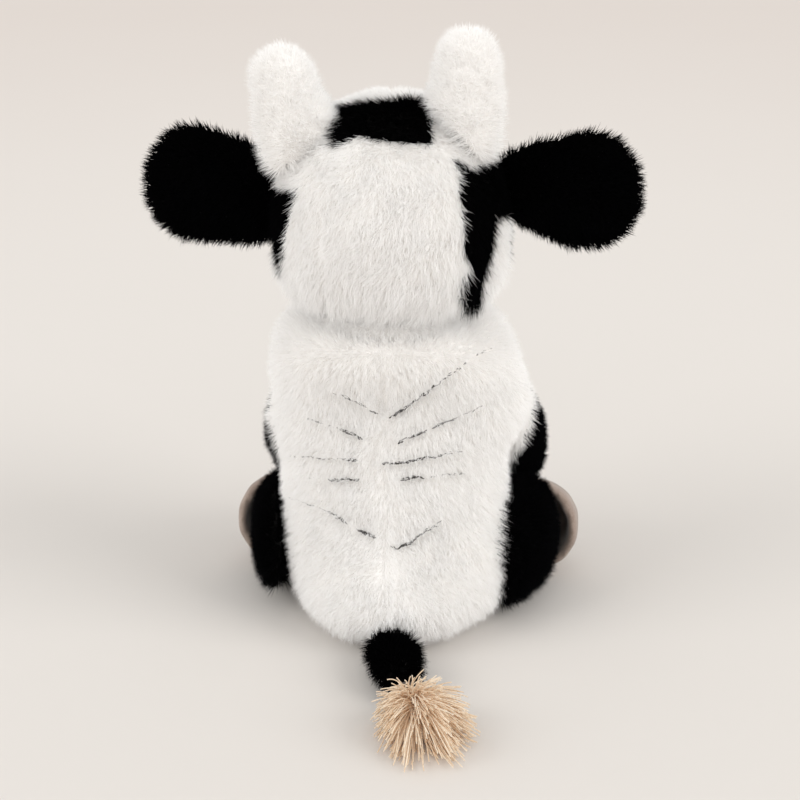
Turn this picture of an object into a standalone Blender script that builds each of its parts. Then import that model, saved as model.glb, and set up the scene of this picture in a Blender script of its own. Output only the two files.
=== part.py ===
"""A seated plush cow, about 0.3 m tall with its horns.

Metres, +Z up. The origin is the middle of the flat seat that it sits on. The cow faces -Y, its own left
is +X, and its tail lies on the ground behind it, along +Y. Each skin is a shell of cloth and pile round
its own stuffing, cut open where it is sewn to what carries it.
"""

import math

import bpy
import numpy as np
from mathutils import Matrix, Vector

# Sewing sizes
SKIN = 0.0042  # cloth backing with its pile pressed flat
GAP = 0.0003  # between pieces that touch
FILL_GAP = 0.0006  # between a skin and its stuffing
SEAM_GAP = 0.0003  # between two panels of one skin
ROOM = 0.0006  # round a stuffed piece that moves in its seat
OVERRUN = 0.05  # how far a cutter passes the piece that it cuts
LIMB_OVERRUN = 0.10  # the same, across the end of a limb
FLOOR_CUT = 0.0005  # the seat is flat this deep
FLOOR_GAP = 0.0006  # under the limbs and the tail

# Body
BODY_HEIGHT = 0.168
BODY_HALF_WIDTH = 0.067
BODY_HALF_DEPTH = 0.055
BODY_BLUNTNESS = 20
# place along the height, half width, half depth
BODY_SHARES = (
    (0.00, 0.90, 1.18),
    (0.25, 0.90, 1.03),
    (0.47, 0.86, 0.93),
    (0.68, 1.00, 0.90),
    (0.85, 0.93, 0.87),
    (1.00, 0.76, 0.80),
)
SIDE_SEAM_Y = -0.008
SEAT_FLAT_SHARE = 0.62  # of the body's width and depth at the ground
SEAT_RADIUS = 0.034
SEAT_HEIGHT = 0.012
BAG_RADIUS = 0.025
BAG_HEIGHT = 0.018
BAG_BLUNTNESS = 2.4
BAG_LIFT = 0.0006  # above the skin that it lies on
BAG_ROOM = 0.0012

# Neck and head
NECK_SHARE = 0.964  # of the body's height
NECK_RADIUS = 0.030
NECK_ROOM = 0.0012
HEAD_ABOVE_NECK = 0.050
HEAD_RADIUS = 0.060
HEAD_BLUNTNESS = 2.3
# place along the height, half width, half depth: the cheeks swell low down
HEAD_SHARES = ((0.0, 1.16, 1.02), (0.3, 1.06, 1.0), (0.55, 1.0, 1.0), (1.0, 0.98, 0.98))
HEAD_ROOM = 0.0010
NOD_LIMIT = math.radians(8)
SIDE_SEAM_LEFT = 0.034
SIDE_SEAM_RIGHT = 0.037
CROWN_BACK_ANGLE = math.radians(55)
CROWN_FRONT_ANGLE = math.radians(88)
LEFT_PATCH_BACK = 0.024
LEFT_PATCH_BELOW = 0.026
LEFT_PATCH_FRONT = 0.060
RIGHT_CHEEK_BELOW = 0.005
RIGHT_CHEEK_BACK = 0.0235
RIGHT_CHEEK_FOOT = 0.006

# Muzzle, eyes and nostrils
MUZZLE_LENGTH = 0.050
MUZZLE_SINK = 0.020
MUZZLE_DROP = 0.017
MUZZLE_HALF_WIDTH = 0.029
MUZZLE_HALF_HEIGHT = 0.021
MUZZLE_BLUNTNESS = 3
NOSTRIL_RADIUS = 0.0042
NOSTRIL_SPREAD = 0.011
NOSTRIL_RISE = 0.006
NOSTRIL_THICKNESS = 0.0012
EYE_RADIUS = 0.0060
EYE_DOME = 0.0045
EYE_SPREAD = 0.026
EYE_RISE = 0.012
EYE_SEAT = 0.0006
SHANK_RADIUS = 0.0018
SHANK_LENGTH = 0.0090
WASHER_RADIUS = 0.0060
WASHER_THICKNESS = 0.0014
WASHER_SEAT = 0.0016

# Ears
EAR_LENGTH = 0.0670
EAR_SINK = 0.006
EAR_RISE = 0.004
EAR_TIP_RISE = 0.010
EAR_TIP_FORWARD = 0.004
EAR_HALF_HEIGHT = 0.030
EAR_HALF_THICKNESS = 0.0065
EAR_BLUNTNESS = 4
EAR_SHARES = ((0.0, 0.74, 1.0), (0.25, 0.84, 1.0), (0.55, 1.0, 1.0), (0.8, 1.0, 0.95), (1.0, 0.85, 0.9))
EAR_SEAM_SHARE = -0.25  # of the half thickness, forward of the middle
EAR_HINGE_OUT = 0.003
EAR_SWING = math.radians(25)

# Horns
HORN_ROOT_LEFT = 0.042
HORN_ROOT_RIGHT = 0.036
HORN_TIP_LEFT = 0.053
HORN_TIP_RIGHT = 0.036
HORN_ROOT_RISE = 0.020
HORN_ROOT_BACK = 0.016
HORN_TIP_BACK = 0.010
HORN_TOP_LEFT = 0.0845
HORN_TOP_RIGHT = 0.0950
HORN_HALF_WIDTH = 0.0210
HORN_HALF_DEPTH = 0.0170
HORN_BLUNTNESS = 3.4
HORN_SHARES = ((0.0, 0.95, 1.0), (0.3, 1.0, 1.0), (0.6, 0.94, 0.90), (1.0, 0.84, 0.76))
HORN_HINGE_RISE = 0.036
HORN_LEAN = math.radians(8)

# Arms
SHOULDER_SHARE = 0.73  # of the body's height
SHOULDER_SINK = 0.017
SHOULDER_FORWARD = 0.010
ARM_BEND_OUT = 0.0108
ARM_BEND_FORWARD = 0.020
ARM_BEND_DROP_SHARE = 0.262  # of the body's height
ARM_END_OUT = 0.0
ARM_END_FORWARD = 0.070
ARM_END_DROP_SHARE = 0.423
ARM_RADIUS = 0.0195
ARM_BLUNTNESS = 3.2
ARM_SHARES = ((0.0, 0.95, 0.95), (0.35, 1.0, 1.0), (0.7, 0.90, 0.90), (1.0, 0.86, 0.86))
ARM_HOOF_SHARE = 0.74
ARM_HINGE_RISE = 0.012
ARM_HINGE_BACK = 0.004
ARM_SWING = math.radians(60)

# Legs
HIP_OUT = 0.032
HIP_BACK = 0.030
LEG_BEND_OUT = 0.0577
LEG_BEND_FORWARD = 0.004
LEG_END_OUT = 0.0737
LEG_END_FORWARD = 0.058
LEG_RADIUS = 0.032
LEG_BLUNTNESS = 3.2
LEG_SHARES = ((0.0, 1.0, 1.0), (0.35, 0.98, 0.98), (0.65, 0.86, 0.86), (1.0, 0.78, 0.78))
LEG_HOOF_SHARE = 0.70
LEG_SINK_SHARE = 0.30  # how much lower the end of the leg lies, of its radius
LEG_HINGE_OUT = 0.052
LEG_HINGE_BACK = 0.030
LEG_SPLAY = math.radians(18)
PAW_SHIFT = -0.0067  # all four paws lie a little to the cow's right

# Tail
TAIL_ROOT_BACK = 0.036
TAIL_LENGTH = 0.080
TAIL_BEND_BACK = 0.044
TAIL_BEND_SHIFT = -0.003
TAIL_END_SHIFT = -0.014
TAIL_HALF_WIDTH = 0.0150
TAIL_HALF_HEIGHT = 0.0110
TAIL_BLUNTNESS = 5
TAIL_SHARES = ((0.0, 1.0, 1.0), (0.5, 1.0, 1.0), (0.8, 0.96, 0.96), (1.0, 0.80, 0.80))
TAIL_HINGE_RISE = 0.024
TAIL_HINGE_BACK = 0.054
TAIL_LIFT = math.radians(35)
TUFT_LENGTH = 0.057
TUFT_SHIFT = -0.018
TUFT_HALF_WIDTH = 0.025
TUFT_HALF_HEIGHT = 0.0130
TUFT_BLUNTNESS = 3
TUFT_SHARES = ((0.0, 0.34, 0.80), (0.15, 0.50, 0.95), (0.4, 0.95, 0.92), (0.7, 1.0, 0.8), (1.0, 0.8, 0.35))
BINDING_WIRE = 0.0012
BINDING_GROOVE = 0.005
BINDING_SHARE = 0.045  # of the tuft's length, from its root

# How finely each form is cut
BODY_SIDES = 24
BODY_RINGS = 11
HEAD_SIDES = 24
HEAD_RINGS = 10
LIMB_SIDES = 12
LIMB_RINGS = 8
FLAT_SIDES = 14
FLAT_RINGS = 7
SMALL_SIDES = 12
NECK_SIDES = 20
NECK_ROOM_SIDES = 28
SMALL_RINGS = 7
ROOM_SIDES = 36
FAN_STEPS = 4
DOME_STEPS = 5
SWING_STEP = math.radians(12)
SHARP_ANGLE = math.radians(50)
LEAST_RING_STEP_SHARE = 0.0001  # of a form's line, between two rings

# Places worked out from the sizes
NECK = Vector((0, 0, BODY_HEIGHT * NECK_SHARE))
HEAD = NECK + Vector((0, 0, HEAD_ABOVE_NECK))
X = Vector((1, 0, 0))
Y = Vector((0, 1, 0))
Z = Vector((0, 0, 1))

FINISHES = {
    "white_pile": ((0.84, 0.82, 0.80), 0.9),
    "black_pile": ((0.008, 0.008, 0.009), 0.85),
    "short_velour": ((0.42, 0.34, 0.29), 0.85),
    "fibre": ((0.80, 0.80, 0.78), 0.95),
    "pellet_cloth": ((0.70, 0.68, 0.62), 0.8),
    "yarn": ((0.60, 0.42, 0.27), 0.8),
    "thread": ((0.10, 0.08, 0.07), 0.7),
    "eye_plastic": ((0.010, 0.008, 0.007), 0.12),
    "washer_plastic": ((0.75, 0.75, 0.73), 0.5),
}


def clear_scene():
    for old in list(bpy.data.objects):
        bpy.data.objects.remove(old)


def finish(name, kind):
    """A material of one of the toy's finishes, for one piece."""
    colour, roughness = FINISHES[kind]
    material = bpy.data.materials.new(name)
    material.use_nodes = True
    shader = material.node_tree.nodes["Principled BSDF"]
    shader.inputs["Base Color"].default_value = (*colour, 1)
    shader.inputs["Roughness"].default_value = roughness
    shader.inputs["Metallic"].default_value = 0
    return material


def pivot(name, place, parent=None):
    """An empty on a joint's axis, which carries the pieces that move there."""
    empty = bpy.data.objects.new(name, None)
    bpy.context.collection.objects.link(empty)
    empty.parent = parent
    above = parent["place"] if parent else (0, 0, 0)
    empty.location = place - Vector(above)
    empty["place"] = place
    return empty


def through(knots, values, places):
    """A smooth curve through hand-chosen values, read at the given places (cubic Hermite spans)."""
    slopes = np.gradient(values, knots)
    span = np.clip(np.searchsorted(knots, places) - 1, 0, len(knots) - 2)
    width = knots[span + 1] - knots[span]
    u = (places - knots[span]) / width
    start = (1 + 2 * u) * (1 - u) ** 2 * values[span] + u * (1 - u) ** 2 * width * slopes[span]
    end = u**2 * (3 - 2 * u) * values[span + 1] - u**2 * (1 - u) * width * slopes[span + 1]
    return start + end


class Form:
    """A stuffed shape: elliptic rings along a bent line, drawn to a point at each end.

    The line is a quadratic curve from start to end, pulled towards bend. At a place t along it, the half
    width is half_width * share(t) * (1 - |2t - 1|^bluntness)^(1/2), which is an ellipse for a bluntness
    of 2 and a round-ended tube for more, and the half depth likewise. side is the width's direction.
    flat is the share of the first sizes to which the start is flat, as on a seat.
    """

    def __init__(self, line, side, half_sizes, shares, bluntness, sides, rings, flat=0):
        self.start, self.bend, self.end = (Vector(p) for p in line)
        self.side = Vector(side)
        self.half_width, self.half_depth = half_sizes
        self.shares = np.array(shares)
        self.bluntness = bluntness
        self.sides = sides
        self.count = rings
        self.flat = flat

    def at(self, t):
        """Place and direction at t along the line."""
        place = self.start * (1 - t) ** 2 + self.bend * 2 * t * (1 - t) + self.end * t**2
        way = (self.bend - self.start) * (1 - t) + (self.end - self.bend) * t
        return place, way.normalized()

    def half(self, places):
        """Half width and half depth at places along the line."""
        end = np.sqrt(np.clip(1 - np.abs(2 * places - 1) ** self.bluntness, 0, None))
        wide = through(self.shares[:, 0], self.shares[:, 1], places) * end * self.half_width
        deep = through(self.shares[:, 0], self.shares[:, 2], places) * end * self.half_depth
        return wide, deep

    def surface(self, inset=0.0):
        """Points and outward faces of the closed surface, drawn in by inset along its normals."""
        length = (self.bend - self.start).length + (self.end - self.bend).length
        turn = np.linspace(0, math.pi, self.count + 2)
        places = (1 - np.cos(turn)) / 2
        wide, deep = self.half(places)
        radius = (wide + deep) / 2
        slope_along = np.gradient(places * length, turn)
        slope_out = np.gradient(radius, turn)
        size = np.hypot(slope_along, slope_out)
        shift = -slope_out / size * inset / length
        inward = slope_along / size * inset
        rows = []
        if self.flat:
            _, wide_share, deep_share = self.shares[0] * self.flat
            foot = (wide_share * self.half_width - inset, deep_share * self.half_depth - inset)
            rows.append((inset / length, *foot))
        for i in range(1, self.count + 1):
            t = places[i] - shift[i]
            w = wide[i] - inward[i]
            d = deep[i] - inward[i]
            before = rows[-1][0] if rows else inset / length
            apart = min(t - before, 1 - inset / length - t)
            if apart > LEAST_RING_STEP_SHARE and min(w, d) > 0:
                rows.append((t, w, d))
        points = [self.at(inset / length)[0]]
        for t, w, d in rows:
            centre, way = self.at(t)
            across = (self.side - way * self.side.dot(way)).normalized()
            up = way.cross(across)
            for j in range(self.sides):
                angle = 2 * math.pi * (j + 0.5) / self.sides
                points.append(centre + across * w * math.cos(angle) + up * d * math.sin(angle))
        points.append(self.at(1 - inset / length)[0])
        return points, self.faces(len(rows))

    def faces(self, rows):
        """Faces of rings between two end points, all pointing out."""
        n = self.sides
        last = rows * n + 1
        first = (rows - 1) * n
        faces = []
        for j in range(n):
            k = (j + 1) % n
            faces.append((0, 1 + k, 1 + j))
            for i in range(rows - 1):
                a, b = 1 + i * n, 1 + (i + 1) * n
                faces.append((a + j, a + k, b + k, b + j))
            faces.append((last, 1 + first + j, 1 + first + k))
        return faces


def mesh_of(name, points, faces, origin):
    mesh = bpy.data.meshes.new(name)
    mesh.from_pydata([Vector(p) - origin for p in points], [], faces)
    mesh.shade_smooth()
    mesh.set_sharp_from_angle(angle=SHARP_ANGLE)
    return mesh


def solid_mesh(name, form, inset, origin):
    """A closed solid of the form, drawn in by inset."""
    return mesh_of(name, *form.surface(inset), origin)


def shell_mesh(name, form, wall, origin, inset=0.0):
    """The form's skin, wall thick: its surface, and inside it the same surface drawn in and turned over."""
    outer, outer_faces = form.surface(inset)
    inner, inner_faces = form.surface(inset + wall)
    n = len(outer)
    turned = [tuple(n + i for i in reversed(face)) for face in inner_faces]
    return mesh_of(name, outer + inner, outer_faces + turned, origin)


def piece(name, mesh, kind, carrier):
    """One part of the toy. Its mesh is about the carrier's place."""
    obj = bpy.data.objects.new(name, mesh)
    bpy.context.collection.objects.link(obj)
    obj.parent = carrier
    if not mesh.materials:
        mesh.materials.append(None)
    obj.material_slots[0].link = "OBJECT"
    obj.material_slots[0].material = finish(name, kind)
    return obj


def cutter(name, mesh, matrix=None):
    """A shape that only cuts others. It shows as wire and isn't part of the toy."""
    obj = bpy.data.objects.new(name, mesh)
    bpy.context.collection.objects.link(obj)
    obj.hide_render = True
    obj.display_type = "WIRE"
    if matrix:
        obj.matrix_world = matrix
    return obj


def carve(obj, tools, operation="DIFFERENCE"):
    for tool in tools:
        step = obj.modifiers.new(tool.name, "BOOLEAN")
        step.operation = operation
        step.solver = "EXACT"
        step.object = tool


def prism(name, outline, low, high):
    """A cutter with an outline in Y and Z, from x = low to x = high. The outline runs from +Y towards +Z."""
    n = len(outline)
    points = [(x, y, z) for x in (low, high) for y, z in outline]
    faces = [tuple(reversed(range(n))), tuple(range(n, 2 * n))]
    faces += [(i, (i + 1) % n, n + (i + 1) % n, n + i) for i in range(n)]
    return cutter(name, mesh_of(name, points, faces, Vector()))


def block(name, low, high, matrix=None):
    """A box cutter between two corners."""
    outline = ((low[1], low[2]), (high[1], low[2]), (high[1], high[2]), (low[1], high[2]))
    tool = prism(name, outline, low[0], high[0])
    if matrix:
        tool.matrix_world = matrix
    return tool


def turned(name, profile, sides, matrix=None):
    """Points and faces of a closed outline (radius, height) turned about its own Z axis.

    The outline runs up the outer side. A point at radius 0 is one point of the axis.
    """
    points, rows = [], []
    for radius, height in profile:
        if radius == 0:
            rows.append([len(points)] * sides)
            points.append(Vector((0, 0, height)))
            continue
        rows.append([len(points) + j for j in range(sides)])
        for j in range(sides):
            angle = 2 * math.pi * (j + 0.5) / sides
            points.append(Vector((radius * math.cos(angle), radius * math.sin(angle), height)))
    faces = []
    closed = profile[0][0] != 0
    for i in range(len(rows) if closed else len(rows) - 1):
        lower, upper = rows[i], rows[(i + 1) % len(rows)]
        for j in range(sides):
            k = (j + 1) % sides
            loop = [lower[j], lower[k], upper[k], upper[j]]
            loop = [p for at, p in enumerate(loop) if p not in loop[:at]]
            if len(loop) > 2:
                faces.append(tuple(loop))
    if matrix:
        points = [matrix @ p for p in points]
    return points, faces


def facing(place, way):
    """The matrix that puts a turned piece at a place, with its axis along way."""
    return Matrix.Translation(place) @ way.to_track_quat("Z", "Y").to_matrix().to_4x4()


def swept(name, mesh, place, axis, limits):
    """Copies of a carrier's shape, turned about a piece's joint: the room that the piece must leave."""
    low, high = limits
    steps = max(1, math.ceil((high - low) / SWING_STEP))
    tools = []
    for i in range(steps + 1):
        angle = low + (high - low) * i / steps
        turn = Matrix.Rotation(-angle, 4, axis)
        tools.append(cutter(f"{name}_{i}", mesh, Matrix.Translation(place) @ turn @ Matrix.Translation(-place)))
    return tools


def skin_and_stuffing(names, kinds, form, carrier, tools):
    """A stuffed limb: its skin, and the stuffing inside it, both cut by the same tools."""
    origin = Vector(carrier["place"])
    skin = piece(names[0], shell_mesh(names[0], form, SKIN, origin), kinds[0], carrier)
    fill = piece(names[1], solid_mesh(names[1], form, SKIN + FILL_GAP, origin), kinds[1], carrier)
    carve(skin, tools)
    carve(fill, tools)
    return skin, fill


def body_form():
    line = ((0, 0, -FLOOR_CUT), (0, 0, BODY_HEIGHT / 2), (0, 0, BODY_HEIGHT))
    sizes = (BODY_HALF_WIDTH, BODY_HALF_DEPTH)
    counts = (BODY_SIDES, BODY_RINGS)
    return Form(line, X, sizes, BODY_SHARES, BODY_BLUNTNESS, *counts, flat=SEAT_FLAT_SHARE)


def head_form():
    line = (HEAD - Z * HEAD_RADIUS, HEAD, HEAD + Z * HEAD_RADIUS)
    sizes = (HEAD_RADIUS, HEAD_RADIUS)
    return Form(line, X, sizes, HEAD_SHARES, HEAD_BLUNTNESS, HEAD_SIDES, HEAD_RINGS)


def ball_form(centre, radius, sides, rings):
    line = (centre - Z * radius, centre, centre + Z * radius)
    return Form(line, X, (radius, radius), ((0, 1, 1), (1, 1, 1)), 2, sides, rings)


def head_room():
    """The room that the head takes as it turns and nods: its lowest edge at each distance from the axis.

    The head's width only turns about the axis. Its depth also tilts with the nod, both ways.
    """
    form = head_form()
    places = (1 - np.cos(np.linspace(0, math.pi / 2, ROOM_SIDES))) / 2
    wide, deep = form.half(places)
    rise = (2 * places - 1) * HEAD_RADIUS + HEAD_ABOVE_NECK
    edges = [(wide, rise)]
    for angle in (-NOD_LIMIT, 0, NOD_LIMIT):
        out = np.concatenate([-deep[::-1], deep])
        up = np.concatenate([rise[::-1], rise])
        edges.append((out * math.cos(angle) + up * math.sin(angle), up * math.cos(angle) - out * math.sin(angle)))
    reach = float(wide.max())
    steps = np.linspace(0, 1, HEAD_RINGS)
    profile = [(0, -HEAD_ABOVE_NECK / 2)]
    for out in reach * np.sin(steps * math.pi / 2):
        low = min(float(np.interp(out, *edge, right=HEAD_ABOVE_NECK)) for edge in edges)
        profile.append((max(float(out), SEAM_GAP), low - HEAD_ROOM))
    profile[0] = (0, profile[1][1])
    profile.append((reach, HEAD_ABOVE_NECK))
    profile.append((0, HEAD_ABOVE_NECK))
    points, faces = turned("head_room", profile, ROOM_SIDES, Matrix.Translation(NECK))
    return cutter("head_room", mesh_of("head_room", points, faces, Vector()))


def neck_room():
    form = ball_form(NECK, NECK_RADIUS + NECK_ROOM, NECK_ROOM_SIDES, HEAD_RINGS)
    return cutter("neck_room", solid_mesh("neck_room", form, 0, Vector()))


def build_body(torso, neck_tools):
    """Four panels round the stuffing, with the pellet bag on the seat panel."""
    form = body_form()
    wide = BODY_HALF_WIDTH + OVERRUN
    tall = BODY_HEIGHT + OVERRUN
    floor = block("below_floor", (-wide, -wide, -OVERRUN), (wide, wide, 0))
    seat = cutter(
        "seat_column",
        mesh_of("seat_column", *turned("", seat_outline(SEAT_RADIUS), ROOM_SIDES), Vector()),
    )
    seat_hole = cutter(
        "seat_hole",
        mesh_of("seat_hole", *turned("", seat_outline(SEAT_RADIUS + SEAM_GAP), ROOM_SIDES), Vector()),
    )
    half_gap = SEAM_GAP / 2
    left_back = block("left_back", (half_gap, SIDE_SEAM_Y + half_gap, -OVERRUN), (wide, wide, tall))
    right_back = block("right_back", (-wide, SIDE_SEAM_Y + half_gap, -OVERRUN), (-half_gap, wide, tall))
    front = block("front", (-wide, -wide, -OVERRUN), (wide, SIDE_SEAM_Y - half_gap, tall))
    shell = shell_mesh("body_skin", form, SKIN, Vector())
    for name, region in (
        ("back_left_panel", left_back),
        ("back_right_panel", right_back),
        ("belly_panel", front),
    ):
        panel = piece(name, shell.copy(), "white_pile", torso)
        carve(panel, neck_tools + [floor, seat_hole])
        carve(panel, [region], "INTERSECT")
    seat_panel = piece("seat_panel", shell.copy(), "white_pile", torso)
    carve(seat_panel, [floor])
    carve(seat_panel, [seat], "INTERSECT")

    bottom = SKIN - FLOOR_CUT + BAG_LIFT
    middle = (0, 0, bottom + BAG_HEIGHT / 2)
    line = ((0, 0, bottom), middle, (0, 0, bottom + BAG_HEIGHT))
    shares = ((0, 1, 1), (1, 1, 1))
    bag = Form(line, X, (BAG_RADIUS, BAG_RADIUS), shares, BAG_BLUNTNESS, FLAT_SIDES, SMALL_RINGS)
    piece("pellet_bag", solid_mesh("pellet_bag", bag, 0, Vector()), "pellet_cloth", torso)
    bag_room = cutter("bag_room", solid_mesh("bag_room", bag, -BAG_ROOM, Vector()))
    fill = piece("body_stuffing", solid_mesh("body_stuffing", form, SKIN + FILL_GAP, Vector()), "fibre", torso)
    carve(fill, neck_tools + [bag_room])


def seat_outline(radius):
    return ((0, -OVERRUN), (radius, -OVERRUN), (radius, SEAT_HEIGHT), (0, SEAT_HEIGHT))


def fan(name, low, high):
    """A wedge about the head's middle between two angles, measured from straight back towards up."""
    bisector = (low + high) / 2
    shift = SEAM_GAP / 2 / math.sin((high - low) / 2)
    y = HEAD.y + shift * math.cos(bisector)
    z = HEAD.z + shift * math.sin(bisector)
    reach = HEAD_RADIUS + OVERRUN
    outline = [(y, z)]
    for i in range(FAN_STEPS + 1):
        angle = low + (high - low) * i / FAN_STEPS
        outline.append((y + reach * math.cos(angle), z + reach * math.sin(angle)))
    return prism(name, outline, SEAM_GAP / 2 - SIDE_SEAM_RIGHT, SIDE_SEAM_LEFT - SEAM_GAP / 2)


def side_region(name, sign, seam):
    """All of the head outside a side seam."""
    reach = HEAD_RADIUS + OVERRUN
    low, high = sorted((sign * (seam + SEAM_GAP / 2), sign * reach))
    return block(name, (low, -reach, HEAD.z - reach), (high, reach, HEAD.z + reach))


def grown(outline, by):
    """A convex outline with its corners moved out from its middle, so that each side moves by about by."""
    middle = Vector((sum(p[0] for p in outline), sum(p[1] for p in outline))) / len(outline)
    moved = []
    for i, corner in enumerate(outline):
        before = Vector(outline[i - 1])
        after = Vector(outline[(i + 1) % len(outline)])
        corner = Vector(corner)
        a = (corner - before).normalized()
        b = (after - corner).normalized()
        out = Vector((a.y + b.y, -a.x - b.x)).normalized()
        if out.dot(corner - middle) < 0:
            out.negate()
        lean = abs(out.dot(Vector((a.y, -a.x))))
        moved.append(tuple(corner + out * by / lean))
    return moved


def build_head(head, neck_hole):
    """Three middle panels and two on each side, round the stuffing, with eyes and muzzle."""
    form = head_form()
    origin = Vector(head["place"])
    shell = shell_mesh("head_skin", form, SKIN, origin)
    down = math.radians(-90)
    eye_ways = [Vector((sign * EYE_SPREAD, -eye_depth(), EYE_RISE)).normalized() for sign in (1, -1)]
    shank_holes = []
    washer_holes = []
    for side, way in zip(("left", "right"), eye_ways):
        build_eye(side, way, head)
        shank_holes.append(pin_room(f"{side}_shank_room", way, SHANK_RADIUS + GAP, HEAD_RADIUS + OVERRUN))
        washer_holes.append(pin_room(f"{side}_washer_room", way, WASHER_RADIUS + ROOM, HEAD_RADIUS + OVERRUN))

    panels = (
        ("head_back_panel", "white_pile", down, CROWN_BACK_ANGLE, []),
        ("head_crown_panel", "black_pile", CROWN_BACK_ANGLE, CROWN_FRONT_ANGLE, []),
        ("head_face_panel", "white_pile", CROWN_FRONT_ANGLE, math.radians(270), shank_holes),
    )
    for name, kind, low, high, holes in panels:
        panel = piece(name, shell.copy(), kind, head)
        carve(panel, [neck_hole] + holes)
        carve(panel, [fan(f"{name}_region", low, high)], "INTERSECT")

    reach = HEAD_RADIUS + OVERRUN
    left_inner = (
        (LEFT_PATCH_BACK, HEAD.z - LEFT_PATCH_BELOW),
        (LEFT_PATCH_BACK, HEAD.z + reach),
        (-LEFT_PATCH_FRONT, HEAD.z + reach),
        (-LEFT_PATCH_FRONT, HEAD.z - LEFT_PATCH_BELOW),
    )
    right_inner = (
        (RIGHT_CHEEK_BACK, HEAD.z - RIGHT_CHEEK_BELOW),
        (-reach, HEAD.z - RIGHT_CHEEK_BELOW),
        (-reach, HEAD.z - reach),
        (RIGHT_CHEEK_FOOT, HEAD.z - reach),
    )
    for side, sign, seam, inner, kinds in (
        ("left", 1, SIDE_SEAM_LEFT, left_inner, ("patch", "cheek")),
        ("right", -1, SIDE_SEAM_RIGHT, right_inner, ("cheek", "patch")),
    ):
        region = side_region(f"{side}_side", sign, seam)
        inside = prism(f"{side}_inner", inner, -reach, reach)
        around = prism(f"{side}_inner_room", grown(inner, SEAM_GAP), -reach - GAP, reach + GAP)
        finishes = {"patch": "black_pile", "cheek": "white_pile"}
        first = piece(f"{side}_{kinds[0]}_panel", shell.copy(), finishes[kinds[0]], head)
        second = piece(f"{side}_{kinds[1]}_panel", shell.copy(), finishes[kinds[1]], head)
        for panel in (first, second):
            carve(panel, [neck_hole])
            carve(panel, [region], "INTERSECT")
        carve(first, [inside], "INTERSECT")
        carve(second, [around])

    fill = piece("head_stuffing", solid_mesh("head_stuffing", form, SKIN + FILL_GAP, origin), "fibre", head)
    carve(fill, [neck_hole] + washer_holes)
    return form


def eye_depth():
    """How far forward of the head's middle an eye sits."""
    return math.sqrt(HEAD_RADIUS**2 - EYE_SPREAD**2 - EYE_RISE**2)


def pin_room(name, way, radius, reach):
    """A round hole along an eye's shank, from where the shank ends out past the skin."""
    bottom = HEAD_RADIUS + EYE_SEAT - SHANK_LENGTH - ROOM
    outline = ((0, bottom), (radius, bottom), (radius, reach), (0, reach))
    points, faces = turned(name, outline, SMALL_SIDES, facing(HEAD, way))
    return cutter(name, mesh_of(name, points, faces, Vector()))


def build_eye(side, way, head):
    """A safety eye: a dome on a shank that passes the skin, and the lock washer behind the skin."""
    origin = Vector(head["place"])
    seat = HEAD_RADIUS + EYE_SEAT
    outline = [(0, seat - SHANK_LENGTH), (SHANK_RADIUS, seat - SHANK_LENGTH), (SHANK_RADIUS, seat)]
    for i in range(DOME_STEPS):
        angle = math.pi / 2 * i / DOME_STEPS
        outline.append((EYE_RADIUS * math.cos(angle), seat + EYE_DOME * math.sin(angle)))
    outline.append((0, seat + EYE_DOME))
    points, faces = turned("", outline, SMALL_SIDES, facing(HEAD, way))
    piece(f"{side}_eye", mesh_of(f"{side}_eye", points, faces, origin), "eye_plastic", head)
    top = HEAD_RADIUS - SKIN - WASHER_SEAT
    hole = SHANK_RADIUS + GAP
    outline = (
        (hole, top - WASHER_THICKNESS),
        (WASHER_RADIUS, top - WASHER_THICKNESS),
        (WASHER_RADIUS, top),
        (hole, top),
    )
    points, faces = turned("", outline, SMALL_SIDES, facing(HEAD, way))
    washer = mesh_of(f"{side}_eye_washer", points, faces, origin)
    piece(f"{side}_eye_washer", washer, "washer_plastic", head)


def build_muzzle(head, head_tool):
    """The muzzle on the front of the head, and two stitched nostrils on it."""
    back = HEAD + Vector((0, MUZZLE_SINK - HEAD_RADIUS, -MUZZLE_DROP))
    front = back - Y * MUZZLE_LENGTH
    shares = ((0, 1, 1), (1, 1, 1))
    form = Form(
        (back, (back + front) / 2, front),
        X,
        (MUZZLE_HALF_WIDTH, MUZZLE_HALF_HEIGHT),
        shares,
        MUZZLE_BLUNTNESS,
        FLAT_SIDES,
        SMALL_RINGS,
    )
    names = ("muzzle_cover", "muzzle_stuffing")
    skin_and_stuffing(names, ("short_velour", "fibre"), form, head, [head_tool])
    origin = Vector(head["place"])
    patch = shell_mesh("nostril_skin", form, NOSTRIL_THICKNESS, origin, -GAP - NOSTRIL_THICKNESS)
    for side, sign in (("left", 1), ("right", -1)):
        centre = back + X * sign * NOSTRIL_SPREAD + Z * NOSTRIL_RISE
        reach = MUZZLE_LENGTH + OVERRUN
        start = MUZZLE_LENGTH / 2
        outline = ((0, start), (NOSTRIL_RADIUS, start), (NOSTRIL_RADIUS, reach), (0, reach))
        points, faces = turned("", outline, SMALL_SIDES, facing(centre, -Y))
        column = cutter(f"{side}_nostril_column", mesh_of("column", points, faces, Vector()))
        nostril = piece(f"{side}_nostril", patch.copy(), "thread", head)
        carve(nostril, [column], "INTERSECT")


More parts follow.
